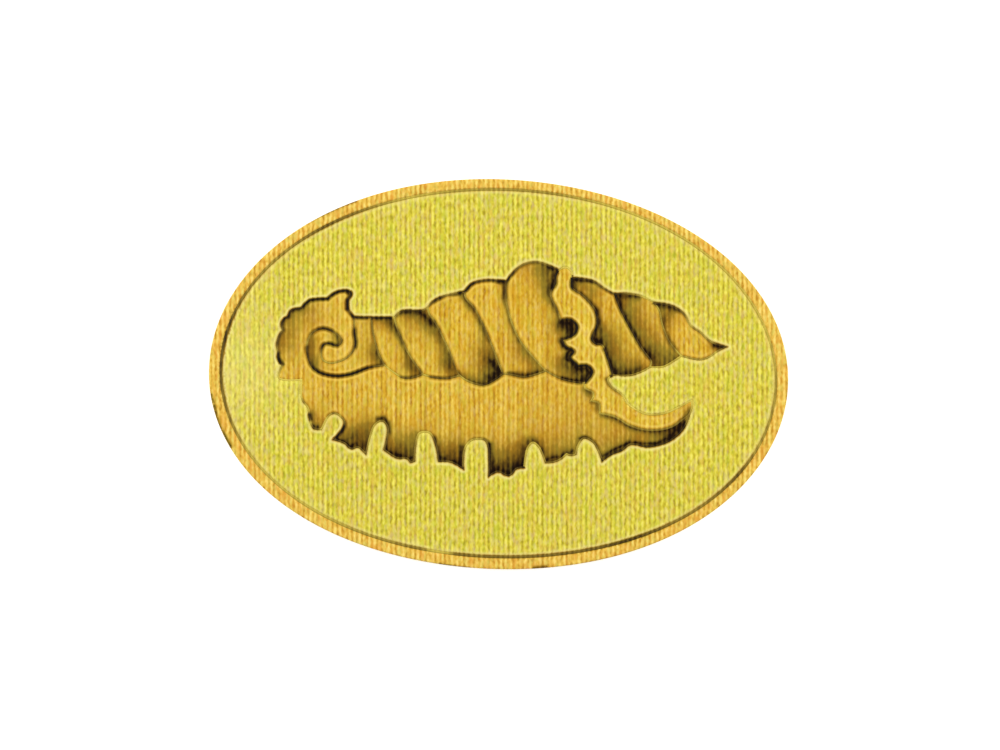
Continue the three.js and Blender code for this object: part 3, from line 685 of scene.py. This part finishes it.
# %% [markdown]
# Veneer
#
# Every leaf is sawn veneer, nearly a millimetre thick and laid with its grain
# upright. It shows fine upright ribs, here 0.8 mm apart, with longer streaks that
# run through the whole sheet and flecks half a millimetre across at the pores. The
# three patterns are added into one tone, and the tone picks the colour. The
# patterns are in object coordinates turned to millimetres, so they have their
# real size, and all the leaves cut from one sheet match.

# %% Grain of sawn veneer
RIB_SPACING = 0.798
RIB_SHARE = 0.32
# At a scale of one the wave pattern repeats every tenth of pi.
WAVE_UNIT = math.pi / 10
# Cells in a millimetre: across the grain, along it, and through the sheet.
STREAK_STRETCH = (1.3, 0.04, 0.04)
FLECK_STRETCH = (2.0, 1.0, 1.0)


def grain_tone(tree, streak_share, fleck_share):
    """The tone of the wood at each point, 0 dark to 1 light, and the place in millimetres."""
    place = add(tree, "ShaderNodeTexCoord").outputs["Object"]
    place = add(tree, "ShaderNodeMapping", {
        "Vector": place, "Rotation": (0, 0, -OVAL_TURN), "Scale": (1 / MM,) * 3}).outputs["Vector"]
    ribs = add(tree, "ShaderNodeTexWave", {
        "Vector": place, "Scale": WAVE_UNIT / RIB_SPACING, "Distortion": 0.2,
        "Detail": 1.0, "Detail Scale": 0.7, "Detail Roughness": 0.4}).outputs["Fac"]
    patterns = [(ribs, RIB_SHARE)]
    for stretch, share in ((STREAK_STRETCH, streak_share), (FLECK_STRETCH, fleck_share)):
        drawn = add(tree, "ShaderNodeMapping", {"Vector": place, "Scale": stretch})
        noise = add(tree, "ShaderNodeTexNoise", {
            "Vector": drawn.outputs["Vector"], "Scale": 1.0, "Detail": 1.5, "Roughness": 0.5})
        patterns.append((noise.outputs["Fac"], share))
    tone = 0.5
    for pattern, share in patterns:
        off = add(tree, "ShaderNodeMath", {0: pattern, 1: -0.5}, operation="ADD")
        tone = add(tree, "ShaderNodeMath", {0: off.outputs[0], 1: share, 2: tone},
                   operation="MULTIPLY_ADD", use_clamp=True).outputs[0]
    return tone, place


print("ribs every", RIB_SPACING, "mm, wave scale", round(WAVE_UNIT / RIB_SPACING, 3))

# %% [markdown]
# Stain and wax never take evenly in open grain. Fleck by fleck and patch by patch
# the wood leans to other hues: the stained ground to grey-pink, orange and green,
# the golden leaves to a bleached straw, a deep yellow or green. Each hue has a
# pattern of its own, and is mixed in where that pattern is high. Scorched wood
# keeps its grain almost to the end, so the tone of the grain also pushes the
# scorch a little deeper where the wood is dark. Where the sand was hotter the
# scorch turns from olive to brown, in patches a few millimetres across. The face
# was sanded and thinly waxed, and the photograph shows no sheen on it, so it
# mirrors very little.

# %% The finish of a veneer
SCORCH_STOPS = [(0.0, "#c89c2a"), (0.35, "#957c24"), (0.6, "#614f17"),
                (0.85, "#2e200a"), (1.0, "#170b03")]
SCORCH_FULL = 0.3
SCORCH_GRAIN = 0.9
SCORCH_BROWN = "#ffe0c4"
BROWN_PATCH = (0.35, 0.2, 0.2)
BROWN_FROM, BROWN_FULL, BROWN_MOST = 0.4, 0.6, 0.85
BLOTCH = (1.6, 0.5, 0.5)
FLECK_LONG = (2.0, 0.9, 0.9)
HUE_FROM, HUE_FULL = 0.48, 0.68
FIRST_PATTERN, NEXT_PATTERN = 1.5, 3.0
RIB_RELIEF, RIB_DEPTH = 0.25, 0.02 * MM
FACE_ROUGHNESS, FACE_SHEEN = 0.6, 0.05


def veneer(name, stops, hues, bare, streak_share, fleck_share=1.1):
    """A sanded veneer with its grain, its changes of hue, its scorched edges and its painted
    highlight.
    """
    material, tree = blank_finish(name)
    tone, place = grain_tone(tree, streak_share, fleck_share)
    wood = add(tree, "ShaderNodeValToRGB", {"Fac": tone}, stops).outputs["Color"]
    for number, (hue, most, stretch) in enumerate(hues):
        drawn = add(tree, "ShaderNodeMapping", {"Vector": place, "Scale": stretch})
        noise = add(tree, "ShaderNodeTexNoise", {
            "Vector": drawn.outputs["Vector"], "W": FIRST_PATTERN + NEXT_PATTERN * number,
            "Scale": 1.0, "Detail": 1.5}, noise_dimensions="4D")
        share = add(tree, "ShaderNodeMapRange", {
            "Value": noise.outputs["Fac"], "From Min": HUE_FROM, "From Max": HUE_FULL,
            "To Min": 0.0, "To Max": most})
        wood = add(tree, "ShaderNodeMix", {
            0: share.outputs[0], 6: wood, 7: linear(hue)}, data_type="RGBA").outputs[2]
    # The colour called bare is a painted highlight, mixed in beside the seams. On the ground it
    # also makes the paler left end.
    raw = add(tree, "ShaderNodeAttribute", attribute_name="raw").outputs["Fac"]
    wood = add(tree, "ShaderNodeMix", {
        0: raw, 6: wood, 7: linear(bare)}, data_type="RGBA").outputs[2]
    burn = add(tree, "ShaderNodeAttribute", attribute_name="burn").outputs["Fac"]
    deeper = add(tree, "ShaderNodeMath", {0: 0.5, 1: tone}, operation="SUBTRACT").outputs[0]
    deeper = add(tree, "ShaderNodeMath", {0: deeper, 1: SCORCH_GRAIN, 2: 1.0},
                 operation="MULTIPLY_ADD").outputs[0]
    burn = add(tree, "ShaderNodeMath", {0: burn, 1: deeper}, operation="MULTIPLY").outputs[0]
    scorch = add(tree, "ShaderNodeValToRGB", {"Fac": burn}, SCORCH_STOPS).outputs["Color"]
    drawn = add(tree, "ShaderNodeMapping", {"Vector": place, "Scale": BROWN_PATCH})
    noise = add(tree, "ShaderNodeTexNoise", {
        "Vector": drawn.outputs["Vector"], "Scale": 1.0, "Detail": 2.0})
    brown = add(tree, "ShaderNodeMapRange", {
        "Value": noise.outputs["Fac"], "From Min": BROWN_FROM, "From Max": BROWN_FULL,
        "To Max": BROWN_MOST})
    scorch = add(tree, "ShaderNodeMix", {
        0: brown.outputs[0], 6: scorch, 7: linear(SCORCH_BROWN)},
        data_type="RGBA", blend_type="MULTIPLY").outputs[2]
    cover = add(tree, "ShaderNodeMapRange", {
        "Value": burn, "From Min": 0.0, "From Max": SCORCH_FULL})
    colour = add(tree, "ShaderNodeMix", {
        0: cover.outputs[0], 6: wood, 7: scorch}, data_type="RGBA").outputs[2]
    relief = add(tree, "ShaderNodeBump", {
        "Height": tone, "Strength": RIB_RELIEF, "Distance": RIB_DEPTH})
    shader = add(tree, "ShaderNodeBsdfPrincipled", {
        "Base Color": colour, "Normal": relief.outputs[0], "Roughness": FACE_ROUGHNESS,
        "Specular IOR Level": FACE_SHEEN})
    add(tree, "ShaderNodeOutputMaterial", {"Surface": shader.outputs[0]})
    return material


# Boxwood: hard, even and orange-yellow, sanded smooth, with the calmest grain.
boxwood = veneer(
    "sanded_boxwood", [(0.2, "#c08c2a"), (0.5, "#ebc04c"), (0.8, "#ffe078")],
    [("#d9d062", 0.5, FLECK_LONG), ("#e59a38", 0.55, BLOTCH)], "#ffe9a0", streak_share=0.3)
# Satinwood: a ribboned wood, stained green-yellow, which the pores take unevenly.
satinwood = veneer(
    "green_stained_satinwood", [(0.2, "#ab9828"), (0.5, "#dacb3a"), (0.8, "#f6ea64")],
    [("#ddb04e", 0.5, BLOTCH), ("#b8c536", 0.45, BLOTCH), ("#dfca94", 0.36, FLECK_LONG)],
    "#fff4a0", streak_share=0.2)
# Holly: a pale wood, close in the grain and yellowed, that scorches evenly in hot sand.
HOLLY_HUES = [("#e6cb80", 0.4, FLECK_LONG), ("#cf9216", 0.55, BLOTCH), ("#cdbf3c", 0.5, BLOTCH)]
whorl_holly = veneer(
    "sand_shaded_holly", [(0.2, "#aa781c"), (0.5, "#d8ac28"), (0.8, "#f1ce54")],
    HOLLY_HUES, "#ffd860", streak_share=0.8, fleck_share=0.8)
body_holly = veneer(
    "sand_shaded_body_holly", [(0.2, "#ae7b20"), (0.5, "#dcb130"), (0.8, "#f6d45e")],
    HOLLY_HUES, "#ffd860", streak_share=0.8, fleck_share=0.8)
lip_holly = veneer(
    "plain_yellowed_holly", [(0.2, "#b5821c"), (0.5, "#ddb730"), (0.8, "#f7d85c")],
    HOLLY_HUES, "#ffe27a", streak_share=0.6, fleck_share=0.8)
print("veneers:", [m.name for m in (boxwood, satinwood, whorl_holly, body_holly, lip_holly)])

# %% [markdown]
# Glue and paper
#
# Hide glue with saw dust and ink in it fills the cuts. It dries dull, a little
# lower than the wood, and runs from black through brown to the pale yellow of
# bare dust, where the ink was wiped off. The paper behind is brown gummed kraft
# paper, matt, with fibres a few tenths of a millimetre thick that lie every way.

# %% The finish of the glue
GLUE_STOPS = [(0.0, "#e0cc58"), (0.3, "#c4ae42"), (0.6, "#8a7226"), (0.85, "#48360f"),
              (1.0, "#140c04")]
GLUE_GRAIN = 0.35


def dried_glue():
    """Dark hide glue, its darkness taken from the seam it fills."""
    material, tree = blank_finish("dried_hide_glue")
    tone, _ = grain_tone(tree, streak_share=0.3, fleck_share=0.8)
    burn = add(tree, "ShaderNodeAttribute", attribute_name="burn").outputs["Fac"]
    off = add(tree, "ShaderNodeMath", {0: 0.5, 1: tone}, operation="SUBTRACT").outputs[0]
    burn = add(tree, "ShaderNodeMath", {0: off, 1: GLUE_GRAIN, 2: burn},
               operation="MULTIPLY_ADD", use_clamp=True).outputs[0]
    colour = add(tree, "ShaderNodeValToRGB", {"Fac": burn}, GLUE_STOPS).outputs["Color"]
    shader = add(tree, "ShaderNodeBsdfPrincipled", {
        "Base Color": colour, "Roughness": 0.6, "Specular IOR Level": 0.12})
    add(tree, "ShaderNodeOutputMaterial", {"Surface": shader.outputs[0]})
    return material


glue_finish = dried_glue()
print("finish of the cuts:", glue_finish.name)


# %% The finish of the paper
FIBRE_SPACING = 0.4


def kraft_paper():
    """Unbleached paper: felted fibres, darker specks and no gloss."""
    material, tree = blank_finish("kraft_paper")
    place = add(tree, "ShaderNodeTexCoord").outputs["Object"]
    place = add(tree, "ShaderNodeMapping", {"Vector": place, "Scale": (1 / MM,) * 3}).outputs[0]
    fibres = add(tree, "ShaderNodeTexNoise", {
        "Vector": place, "Scale": 1 / FIBRE_SPACING, "Detail": 6.0, "Roughness": 0.65,
        "Distortion": 1.5})
    colour = add(tree, "ShaderNodeValToRGB", {"Fac": fibres.outputs["Fac"]},
                 [(0.3, "#7d6238"), (0.5, "#a88a5c"), (0.7, "#c2a777")]).outputs["Color"]
    relief = add(tree, "ShaderNodeBump", {
        "Height": fibres.outputs["Fac"], "Strength": 0.5, "Distance": 0.03 * MM})
    shader = add(tree, "ShaderNodeBsdfPrincipled", {
        "Base Color": colour, "Normal": relief.outputs[0], "Roughness": 0.9,
        "Specular IOR Level": 0.2})
    add(tree, "ShaderNodeOutputMaterial", {"Surface": shader.outputs[0]})
    return material


paper_finish = kraft_paper()
print("finish of the back:", paper_finish.name)

# %% [markdown]
# The leaf tree
#
# Every flat piece is the same thing to the maker: a sheet, sawn square, whose
# upper edge is softened by sanding. So one geometry tree makes them all. The
# filled outline lies at the bottom, face down. A copy of it is raised by the
# thickness, which makes the walls too, and the corners near the rim are lowered
# to give the worn arris. Sizes are inputs, so each piece gets its own.

# %% Build the leaf tree
WALL_TOUCH = 1e-3 * MM


def leaf_tree():
    """Geometry nodes: a filled outline becomes a closed sheet with a soft upper edge."""
    tree = bpy.data.node_groups.new("sawn_leaf", "GeometryNodeTree")
    face = tree.interface
    face.new_socket("Outline", in_out="INPUT", socket_type="NodeSocketGeometry")
    for label in ("Thickness", "Arris", "Arris width"):
        face.new_socket(label, in_out="INPUT", socket_type="NodeSocketFloat")
    face.new_socket("Finish", in_out="INPUT", socket_type="NodeSocketMaterial")
    face.new_socket("Leaf", in_out="OUTPUT", socket_type="NodeSocketGeometry")
    given = add(tree, "NodeGroupInput").outputs
    up = add(tree, "ShaderNodeCombineXYZ", {"Z": given["Thickness"]}).outputs[0]
    raised = add(tree, "GeometryNodeExtrudeMesh", {
        "Mesh": given["Outline"], "Offset": up, "Offset Scale": 1.0, "Individual": False})
    rim = add(tree, "GeometryNodeInputNamedAttribute", {"Name": "rim"}, data_type="FLOAT")
    worn = add(tree, "ShaderNodeMapRange", {
        "Value": rim.outputs["Attribute"], "From Min": 0.0, "From Max": given["Arris width"],
        "To Min": 1.0, "To Max": 0.0}, interpolation_type="SMOOTHERSTEP").outputs[0]
    drop = add(tree, "ShaderNodeMath", {0: worn, 1: given["Arris"]}, operation="MULTIPLY")
    drop = add(tree, "ShaderNodeMath", {0: drop.outputs[0], 1: -1.0}, operation="MULTIPLY")
    down = add(tree, "ShaderNodeCombineXYZ", {"Z": drop.outputs[0]}).outputs[0]
    top = raised.outputs["Top"]
    shaped = add(tree, "GeometryNodeSetPosition", {
        "Geometry": raised.outputs["Mesh"], "Selection": top, "Offset": down}).outputs[0]
    shaped = add(tree, "GeometryNodeSetShadeSmooth", {
        "Geometry": shaped, "Selection": raised.outputs["Side"], "Shade Smooth": False}).outputs[0]
    under = add(tree, "GeometryNodeFlipFaces", {"Mesh": given["Outline"]}).outputs[0]
    joined = add(tree, "GeometryNodeJoinGeometry")
    for part in (under, shaped):
        tree.links.new(part, joined.inputs[0])
    closed = add(tree, "GeometryNodeMergeByDistance", {
        "Geometry": joined.outputs[0], "Distance": WALL_TOUCH}).outputs[0]
    real = add(tree, "GeometryNodeRealizeInstances", {"Geometry": closed}).outputs[0]
    done = add(tree, "GeometryNodeSetMaterial", {"Geometry": real, "Material": given["Finish"]})
    add(tree, "NodeGroupOutput", {"Leaf": done.outputs[0]})
    return tree


sawn_leaf = leaf_tree()
print("the leaf tree has", len(sawn_leaf.nodes), "nodes")

# %% [markdown]
# A tree is run by a modifier on the mesh that holds the filled outline. Each size
# is set by the identifier of its socket, since the name is only a label. The
# shape that comes out is copied into a plain mesh, and the modifier is taken off,
# so that the finished piece is an ordinary mesh with its place in its corners.

# %% Run a tree on a mesh and keep the result
def grown(name, mesh, tree, inputs):
    """A plain mesh object: the tree's result on the mesh, with its inputs set by label."""
    piece = bpy.data.objects.new(name, mesh)
    bpy.context.collection.objects.link(piece)
    modifier = piece.modifiers.new("shape", "NODES")
    modifier.node_group = tree
    for socket in tree.interface.items_tree:
        if socket.name in inputs:
            modifier[socket.identifier] = inputs[socket.name]
    shaped = piece.evaluated_get(bpy.context.evaluated_depsgraph_get())
    plain = bpy.data.meshes.new_from_object(shaped)
    plain.name = name
    piece.modifiers.remove(modifier)
    piece.data = plain
    return piece


# %% [markdown]
# Every corner of a piece carries a few numbers: how far it is from the rim, how
# burnt the wood is there, and how much painted highlight it gets. The tree reads the
# first one to round the arris, and the finishes read the other two. They ride along
# into the finished mesh, so no picture has to be wrapped round the leaf.

# %% Saw one piece
ARRIS = 0.05
ARRIS_WIDTH = 0.22


def flat_mesh(name, corners, faces, height, **darkness):
    """A flat mesh in metres at a height in millimetres, with numbers at its corners."""
    mesh = bpy.data.meshes.new(name)
    places = np.column_stack([corners, np.full(len(corners), height)]) * MM
    mesh.from_pydata(places.tolist(), [], faces.tolist())
    mesh.polygons.foreach_set("use_smooth", [True] * len(faces))
    for label, values in darkness.items():
        mesh.attributes.new(label, "FLOAT", "POINT").data.foreach_set("value", values)
    return mesh


def sawn(name, corners, faces, rims, height, thickness, finish, arris=ARRIS, **darkness):
    """A finished flat piece, from its filled outline."""
    rim = rim_distance(corners, rims) * MM
    mesh = flat_mesh(name, corners, faces, height, rim=rim, **darkness)
    piece = grown(name, mesh, sawn_leaf, {
        "Thickness": thickness * MM, "Arris": arris * MM, "Arris width": ARRIS_WIDTH * MM,
        "Finish": finish})
    print(name, "has", len(piece.data.vertices), "corners")
    return piece


# %% [markdown]
# The shell
#
# The nine whorls wind up the spire, the body is the big lower leaf with its
# spines, and the bright lip curls between them and runs out into the tail. Each
# one is sawn from its own outline and dipped along its own edges.

# %% Saw and shade the leaves of the shell
LEAF_FINISH = {"shell_body": body_holly, "shell_lip": lip_holly}

for name in leaves:
    rims = [leaf_rims[name]]
    corners, faces = filled(rims, inner_points(rims, FINE_PITCH))
    burn, raw = shading(corners, rims, DIPS[name])
    leaf = sawn(name + "_shaded", corners, faces, rims, PAPER_TOP, VENEER,
                LEAF_FINISH.get(name, whorl_holly), burn=burn, raw=raw)
    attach(leaf, "root")
    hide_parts(name)

# %% [markdown]
# The ground
#
# The ground is one sheet with a hole for the shell. The shading only needs fine
# corners beside the glue, so the points are close together near the shell and far
# apart in the open field. Along the band they lie in three rows that follow the
# oval, because staggered points would break the thin dark line there into beads.

# %% Spread the corners of the ground
COARSE_PITCH = 1.0
FINE_FIELD = 1.2
FINE_MARGIN = 0.7
BAND_ROWS = (0.12, 0.26, 0.42)
ROW_GAP = 0.1

ground_edge = ground_rims[0]
from_centre = np.linalg.norm(ground_edge, axis=1)[:, None]
rows = [ground_edge * (1 - depth / from_centre) for depth in BAND_ROWS]
near = inner_points(ground_rims, FINE_PITCH)
to_shell = rim_distance(near, [opening])
to_band = rim_distance(near, [ground_edge])
near = near[((to_shell < FINE_FIELD) | (to_band < FINE_MARGIN))
            & (to_band > BAND_ROWS[-1] + ROW_GAP)]
far = inner_points(ground_rims, COARSE_PITCH)
to_shell = rim_distance(far, [opening])
to_band = rim_distance(far, [ground_edge])
between = COARSE_PITCH / 4
far = far[(to_shell > FINE_FIELD + between) & (to_band > FINE_MARGIN + between)]
corners, faces = filled(ground_rims, np.concatenate([*rows, near, far]))
print("corners of the ground:", len(corners))

# %% [markdown]
# Along both cuts a thin pale line is painted on the ground, a painted highlight
# beside the seam, most of all beside black glue. A little soot creeps in at the very
# edge. Towards the left end the stain has gone paler over a few millimetres.

# %% Shade and saw the ground
GROUND_HIGHLIGHT_STRENGTH = 0.85
GROUND_HIGHLIGHT_PLACE = 0.22
GROUND_HIGHLIGHT_WIDTH = 0.28
SHELL_CREEP = 0.45
JOINT_CREEP = 0.7
GROUND_CREEP_WIDTH = 0.22
PALE_END = (-42.0, 0.0)
PALE_REACH = 8.0
PALE_STRENGTH = 0.2

shell_soot = seam_darkness(corners)
band_soot = joint_darkness(corners)
to_shell = rim_distance(corners, [opening])
to_band = rim_distance(corners, [ground_edge])
# Painted highlight: a pale line beside both seams of the ground. The paler left end is added on top
# of it.
raw = GROUND_HIGHLIGHT_STRENGTH * (shell_soot * fading(to_shell - GROUND_HIGHLIGHT_PLACE, GROUND_HIGHLIGHT_WIDTH)
                      + band_soot * fading(to_band - GROUND_HIGHLIGHT_PLACE, GROUND_HIGHLIGHT_WIDTH))
raw += PALE_STRENGTH * fading(np.linalg.norm(corners - PALE_END, axis=1), PALE_REACH)
burn = (SHELL_CREEP * shell_soot**2 * fading(to_shell, GROUND_CREEP_WIDTH)
        + JOINT_CREEP * band_soot**2 * fading(to_band, GROUND_CREEP_WIDTH))
ground = sawn("ground_dyed", corners, faces, ground_rims, PAPER_TOP, VENEER, satinwood,
              raw=raw, burn=burn)
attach(ground, "root")
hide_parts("ground")

# %% [markdown]
# Glue in the saw cuts
#
# The cuts are what the leaves leave free in the opening of the ground. So the
# glue is the same kind of filled outline, with the opening as its outer rim and
# every leaf as a hole, a little thinner than the wood.

# %% Fill the saw cuts
GLUE_SINK = 0.05

glue_rims = [opening, *leaf_rims.values()]
corners, faces = filled(glue_rims, np.empty((0, 2)))
glue = sawn("saw_cut_glue", corners, faces, glue_rims, PAPER_TOP, VENEER - GLUE_SINK,
            glue_finish, arris=0.0, burn=seam_darkness(corners))
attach(glue, "root")

# %% [markdown]
# The band
#
# The band is one strip of boxwood bent round the oval and sanded flush, so its
# width wavers a little. It goes through the leaf tree like the other pieces. Its
# face is clean but for a trace of soot along the joint and a few stretches of the
# outer edge that are made darker. Those are drawn as dips are: a line, how dark it
# is and how far it reaches. All of it sits on the upper edge, so the lower corners of
# the sheet get none, and it fades out down the side.

# %% Bend the band round
BAND_PITCH = 0.3
BAND_CREEP = 0.6
BAND_CREEP_WIDTH = 0.13
BAND_DARK_EDGES = [
    ("upper left edge", 0.8, 0.22, (-31.8, 24.1), (-28.9, 25.6), (-26, 27), (-24.2, 27.7)),
    ("left shoulder", 0.35, 0.2, (-39.3, 18.6), (-35.6, 21.7), (-32.7, 23.6)),
    ("lower left edge", 0.6, 0.22, (-46.9, -4.8), (-45.5, -9.5), (-43.4, -13.2)),
    ("foot", 0.6, 0.2, (-8.6, -31.4), (-6.7, -31.7), (-4, -31.9)),
    ("foot spot", 0.6, 0.3, (6.8, -31.5), (8.7, -31.3)),
    ("lower right edge", 0.4, 0.2, (15.9, -30.4), (19.5, -29.7), (24, -28.5)),
]
band_rims = [eased(rim, OVAL_STEP) for rim in outlines("border_band")]
band_opening = min(band_rims, key=lambda rim: np.ptp(rim[:, 0]))
corners, faces = filled(band_rims, inner_points(band_rims, BAND_PITCH))
to_ground = rim_distance(corners, [band_opening])
# A few stretches of the outer edge are made darker, drawn like dips.
burn = scorched(corners, BAND_DARK_EDGES)
burn += BAND_CREEP * joint_darkness(corners) ** 2 * fading(to_ground, BAND_CREEP_WIDTH)
band = sawn("border_band_bent", corners, faces, band_rims, PAPER_TOP, VENEER, boxwood,
            raw=np.zeros(len(corners)), burn=burn)
for corner, soot in zip(band.data.vertices, band.data.attributes["burn"].data):
    if corner.co.z < (PAPER_TOP + VENEER / 2) * MM:
        soot.value = 0
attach(band, "root")
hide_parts("border_band")

# %% [markdown]
# The joint inside the band is filled like the saw cuts: the opening of the band
# is the outer rim, and the ground is the hole. Its darkness goes by the angle.

# %% Fill the joint of the band
joint_rims = [ground_edge, band_opening]
corners, faces = filled(joint_rims, np.empty((0, 2)))
joint = sawn("band_joint_glue", corners, faces, joint_rims, PAPER_TOP, VENEER - GLUE_SINK,
             glue_finish, arris=0.0, burn=joint_darkness(corners))
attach(joint, "root")

# %% [markdown]
# The paper
#
# The sheet behind everything is cut flush with the band, an eighth of a
# millimetre thick. Only its edge shows from the side, and all of it from below.

# %% Cut the paper
paper_rims = [eased(outlines("backing_paper")[0], OVAL_STEP)]
corners, faces = filled(paper_rims, inner_points(paper_rims, 2 * COARSE_PITCH))
paper = sawn("backing_paper_kraft", corners, faces, paper_rims, 0.0, PAPER_TOP, paper_finish,
             arris=0.0)
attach(paper, "root")
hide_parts("backing_paper")

# %% [markdown]
# Floor and light
#
# The picture is seen flat on a white ground, with no shadow to speak of. A matt
# white floor with a faint glow of its own stays white right up to the edge of the
# oval. Two soft boxes stand low at the sides, so that nothing bright lies
# straight above, where a waxed surface would mirror it, and a dim even sky fills
# what they leave.

# %% Floor
FLOOR_HALF = 3.0

floor_mesh = bpy.data.meshes.new("floor")
floor_mesh.from_pydata([(-FLOOR_HALF, -FLOOR_HALF, 0), (FLOOR_HALF, -FLOOR_HALF, 0),
                        (FLOOR_HALF, FLOOR_HALF, 0), (-FLOOR_HALF, FLOOR_HALF, 0)],
                       [], [(0, 1, 2, 3)])
floor = bpy.data.objects.new("floor", floor_mesh)
bpy.context.collection.objects.link(floor)
card = bpy.data.materials.new("matt_white_card")
card.use_nodes = True
card_shader = card.node_tree.nodes["Principled BSDF"]
card_shader.inputs["Base Color"].default_value = linear("#f4f4f4")
card_shader.inputs["Roughness"].default_value = 0.9
card_shader.inputs["Specular IOR Level"].default_value = 0.1
card_shader.inputs["Emission Color"].default_value = (1, 1, 1, 1)
card_shader.inputs["Emission Strength"].default_value = 0.5
floor_mesh.materials.append(card)
print("white floor", 2 * FLOOR_HALF, "m across")

# %% Soft boxes and sky
SKY_STRENGTH = 0.45
BOX_POWER = 2.4
BOX_SIZE = 0.5
BOX_REACH = 0.6
BOX_RISE = math.radians(33)
BOX_TURNS = {"left": math.radians(160), "right": math.radians(20)}

for label, turn in BOX_TURNS.items():
    lamp = bpy.data.lights.new("soft_box_" + label, "AREA")
    lamp.energy = BOX_POWER
    lamp.size = BOX_SIZE
    box = bpy.data.objects.new(lamp.name, lamp)
    box.location = BOX_REACH * Vector((math.cos(turn) * math.cos(BOX_RISE),
                                       math.sin(turn) * math.cos(BOX_RISE),
                                       math.sin(BOX_RISE)))
    box.rotation_euler = box.location.to_track_quat("Z", "Y").to_euler()
    bpy.context.collection.objects.link(box)

sky = bpy.data.worlds.new("even_sky")
sky.use_nodes = True
sky.node_tree.nodes["Background"].inputs["Color"].default_value = (1, 1, 1, 1)
sky.node_tree.nodes["Background"].inputs["Strength"].default_value = SKY_STRENGTH
bpy.context.scene.world = sky
bpy.context.scene.view_settings.view_transform = "Standard"
print("two soft boxes of", BOX_POWER, "W and a sky of", SKY_STRENGTH)

# %% [markdown]
# Camera
#
# The photograph looks straight down on the face, and the oval in it is turned by
# less than two degrees. Its long axis takes up 580 of the 1000 pixels across, and
# that sets how wide the view is. A long lens keeps the walls of the sheet from
# showing.

# %% Camera above the face
PHOTO_WIDTH = 1000
PHOTO_HEIGHT = 750
OVAL_PIXELS = 579.5
OVAL_CENTRE_PIXEL = (498.6, 374.14)
LENS = 90
SENSOR = 36

millimetres_per_pixel = OVAL_LENGTH / OVAL_PIXELS
across = (PHOTO_WIDTH / 2 - OVAL_CENTRE_PIXEL[0]) * millimetres_per_pixel
upward = (OVAL_CENTRE_PIXEL[1] - PHOTO_HEIGHT / 2) * millimetres_per_pixel
height = PHOTO_WIDTH * millimetres_per_pixel * LENS / SENSOR
camera_data = bpy.data.cameras.new("camera")
camera_data.lens = LENS
camera_data.sensor_width = SENSOR
camera_data.clip_start = 0.01
camera = bpy.data.objects.new("camera", camera_data)
camera.location = (
    (across * math.cos(OVAL_TURN) - upward * math.sin(OVAL_TURN)) * MM,
    (across * math.sin(OVAL_TURN) + upward * math.cos(OVAL_TURN)) * MM,
    (height + FACE) * MM,
)
camera.rotation_euler = (0, 0, OVAL_TURN)
bpy.context.collection.objects.link(camera)
bpy.context.scene.camera = camera
print("camera", round(height, 1), "mm above the face")
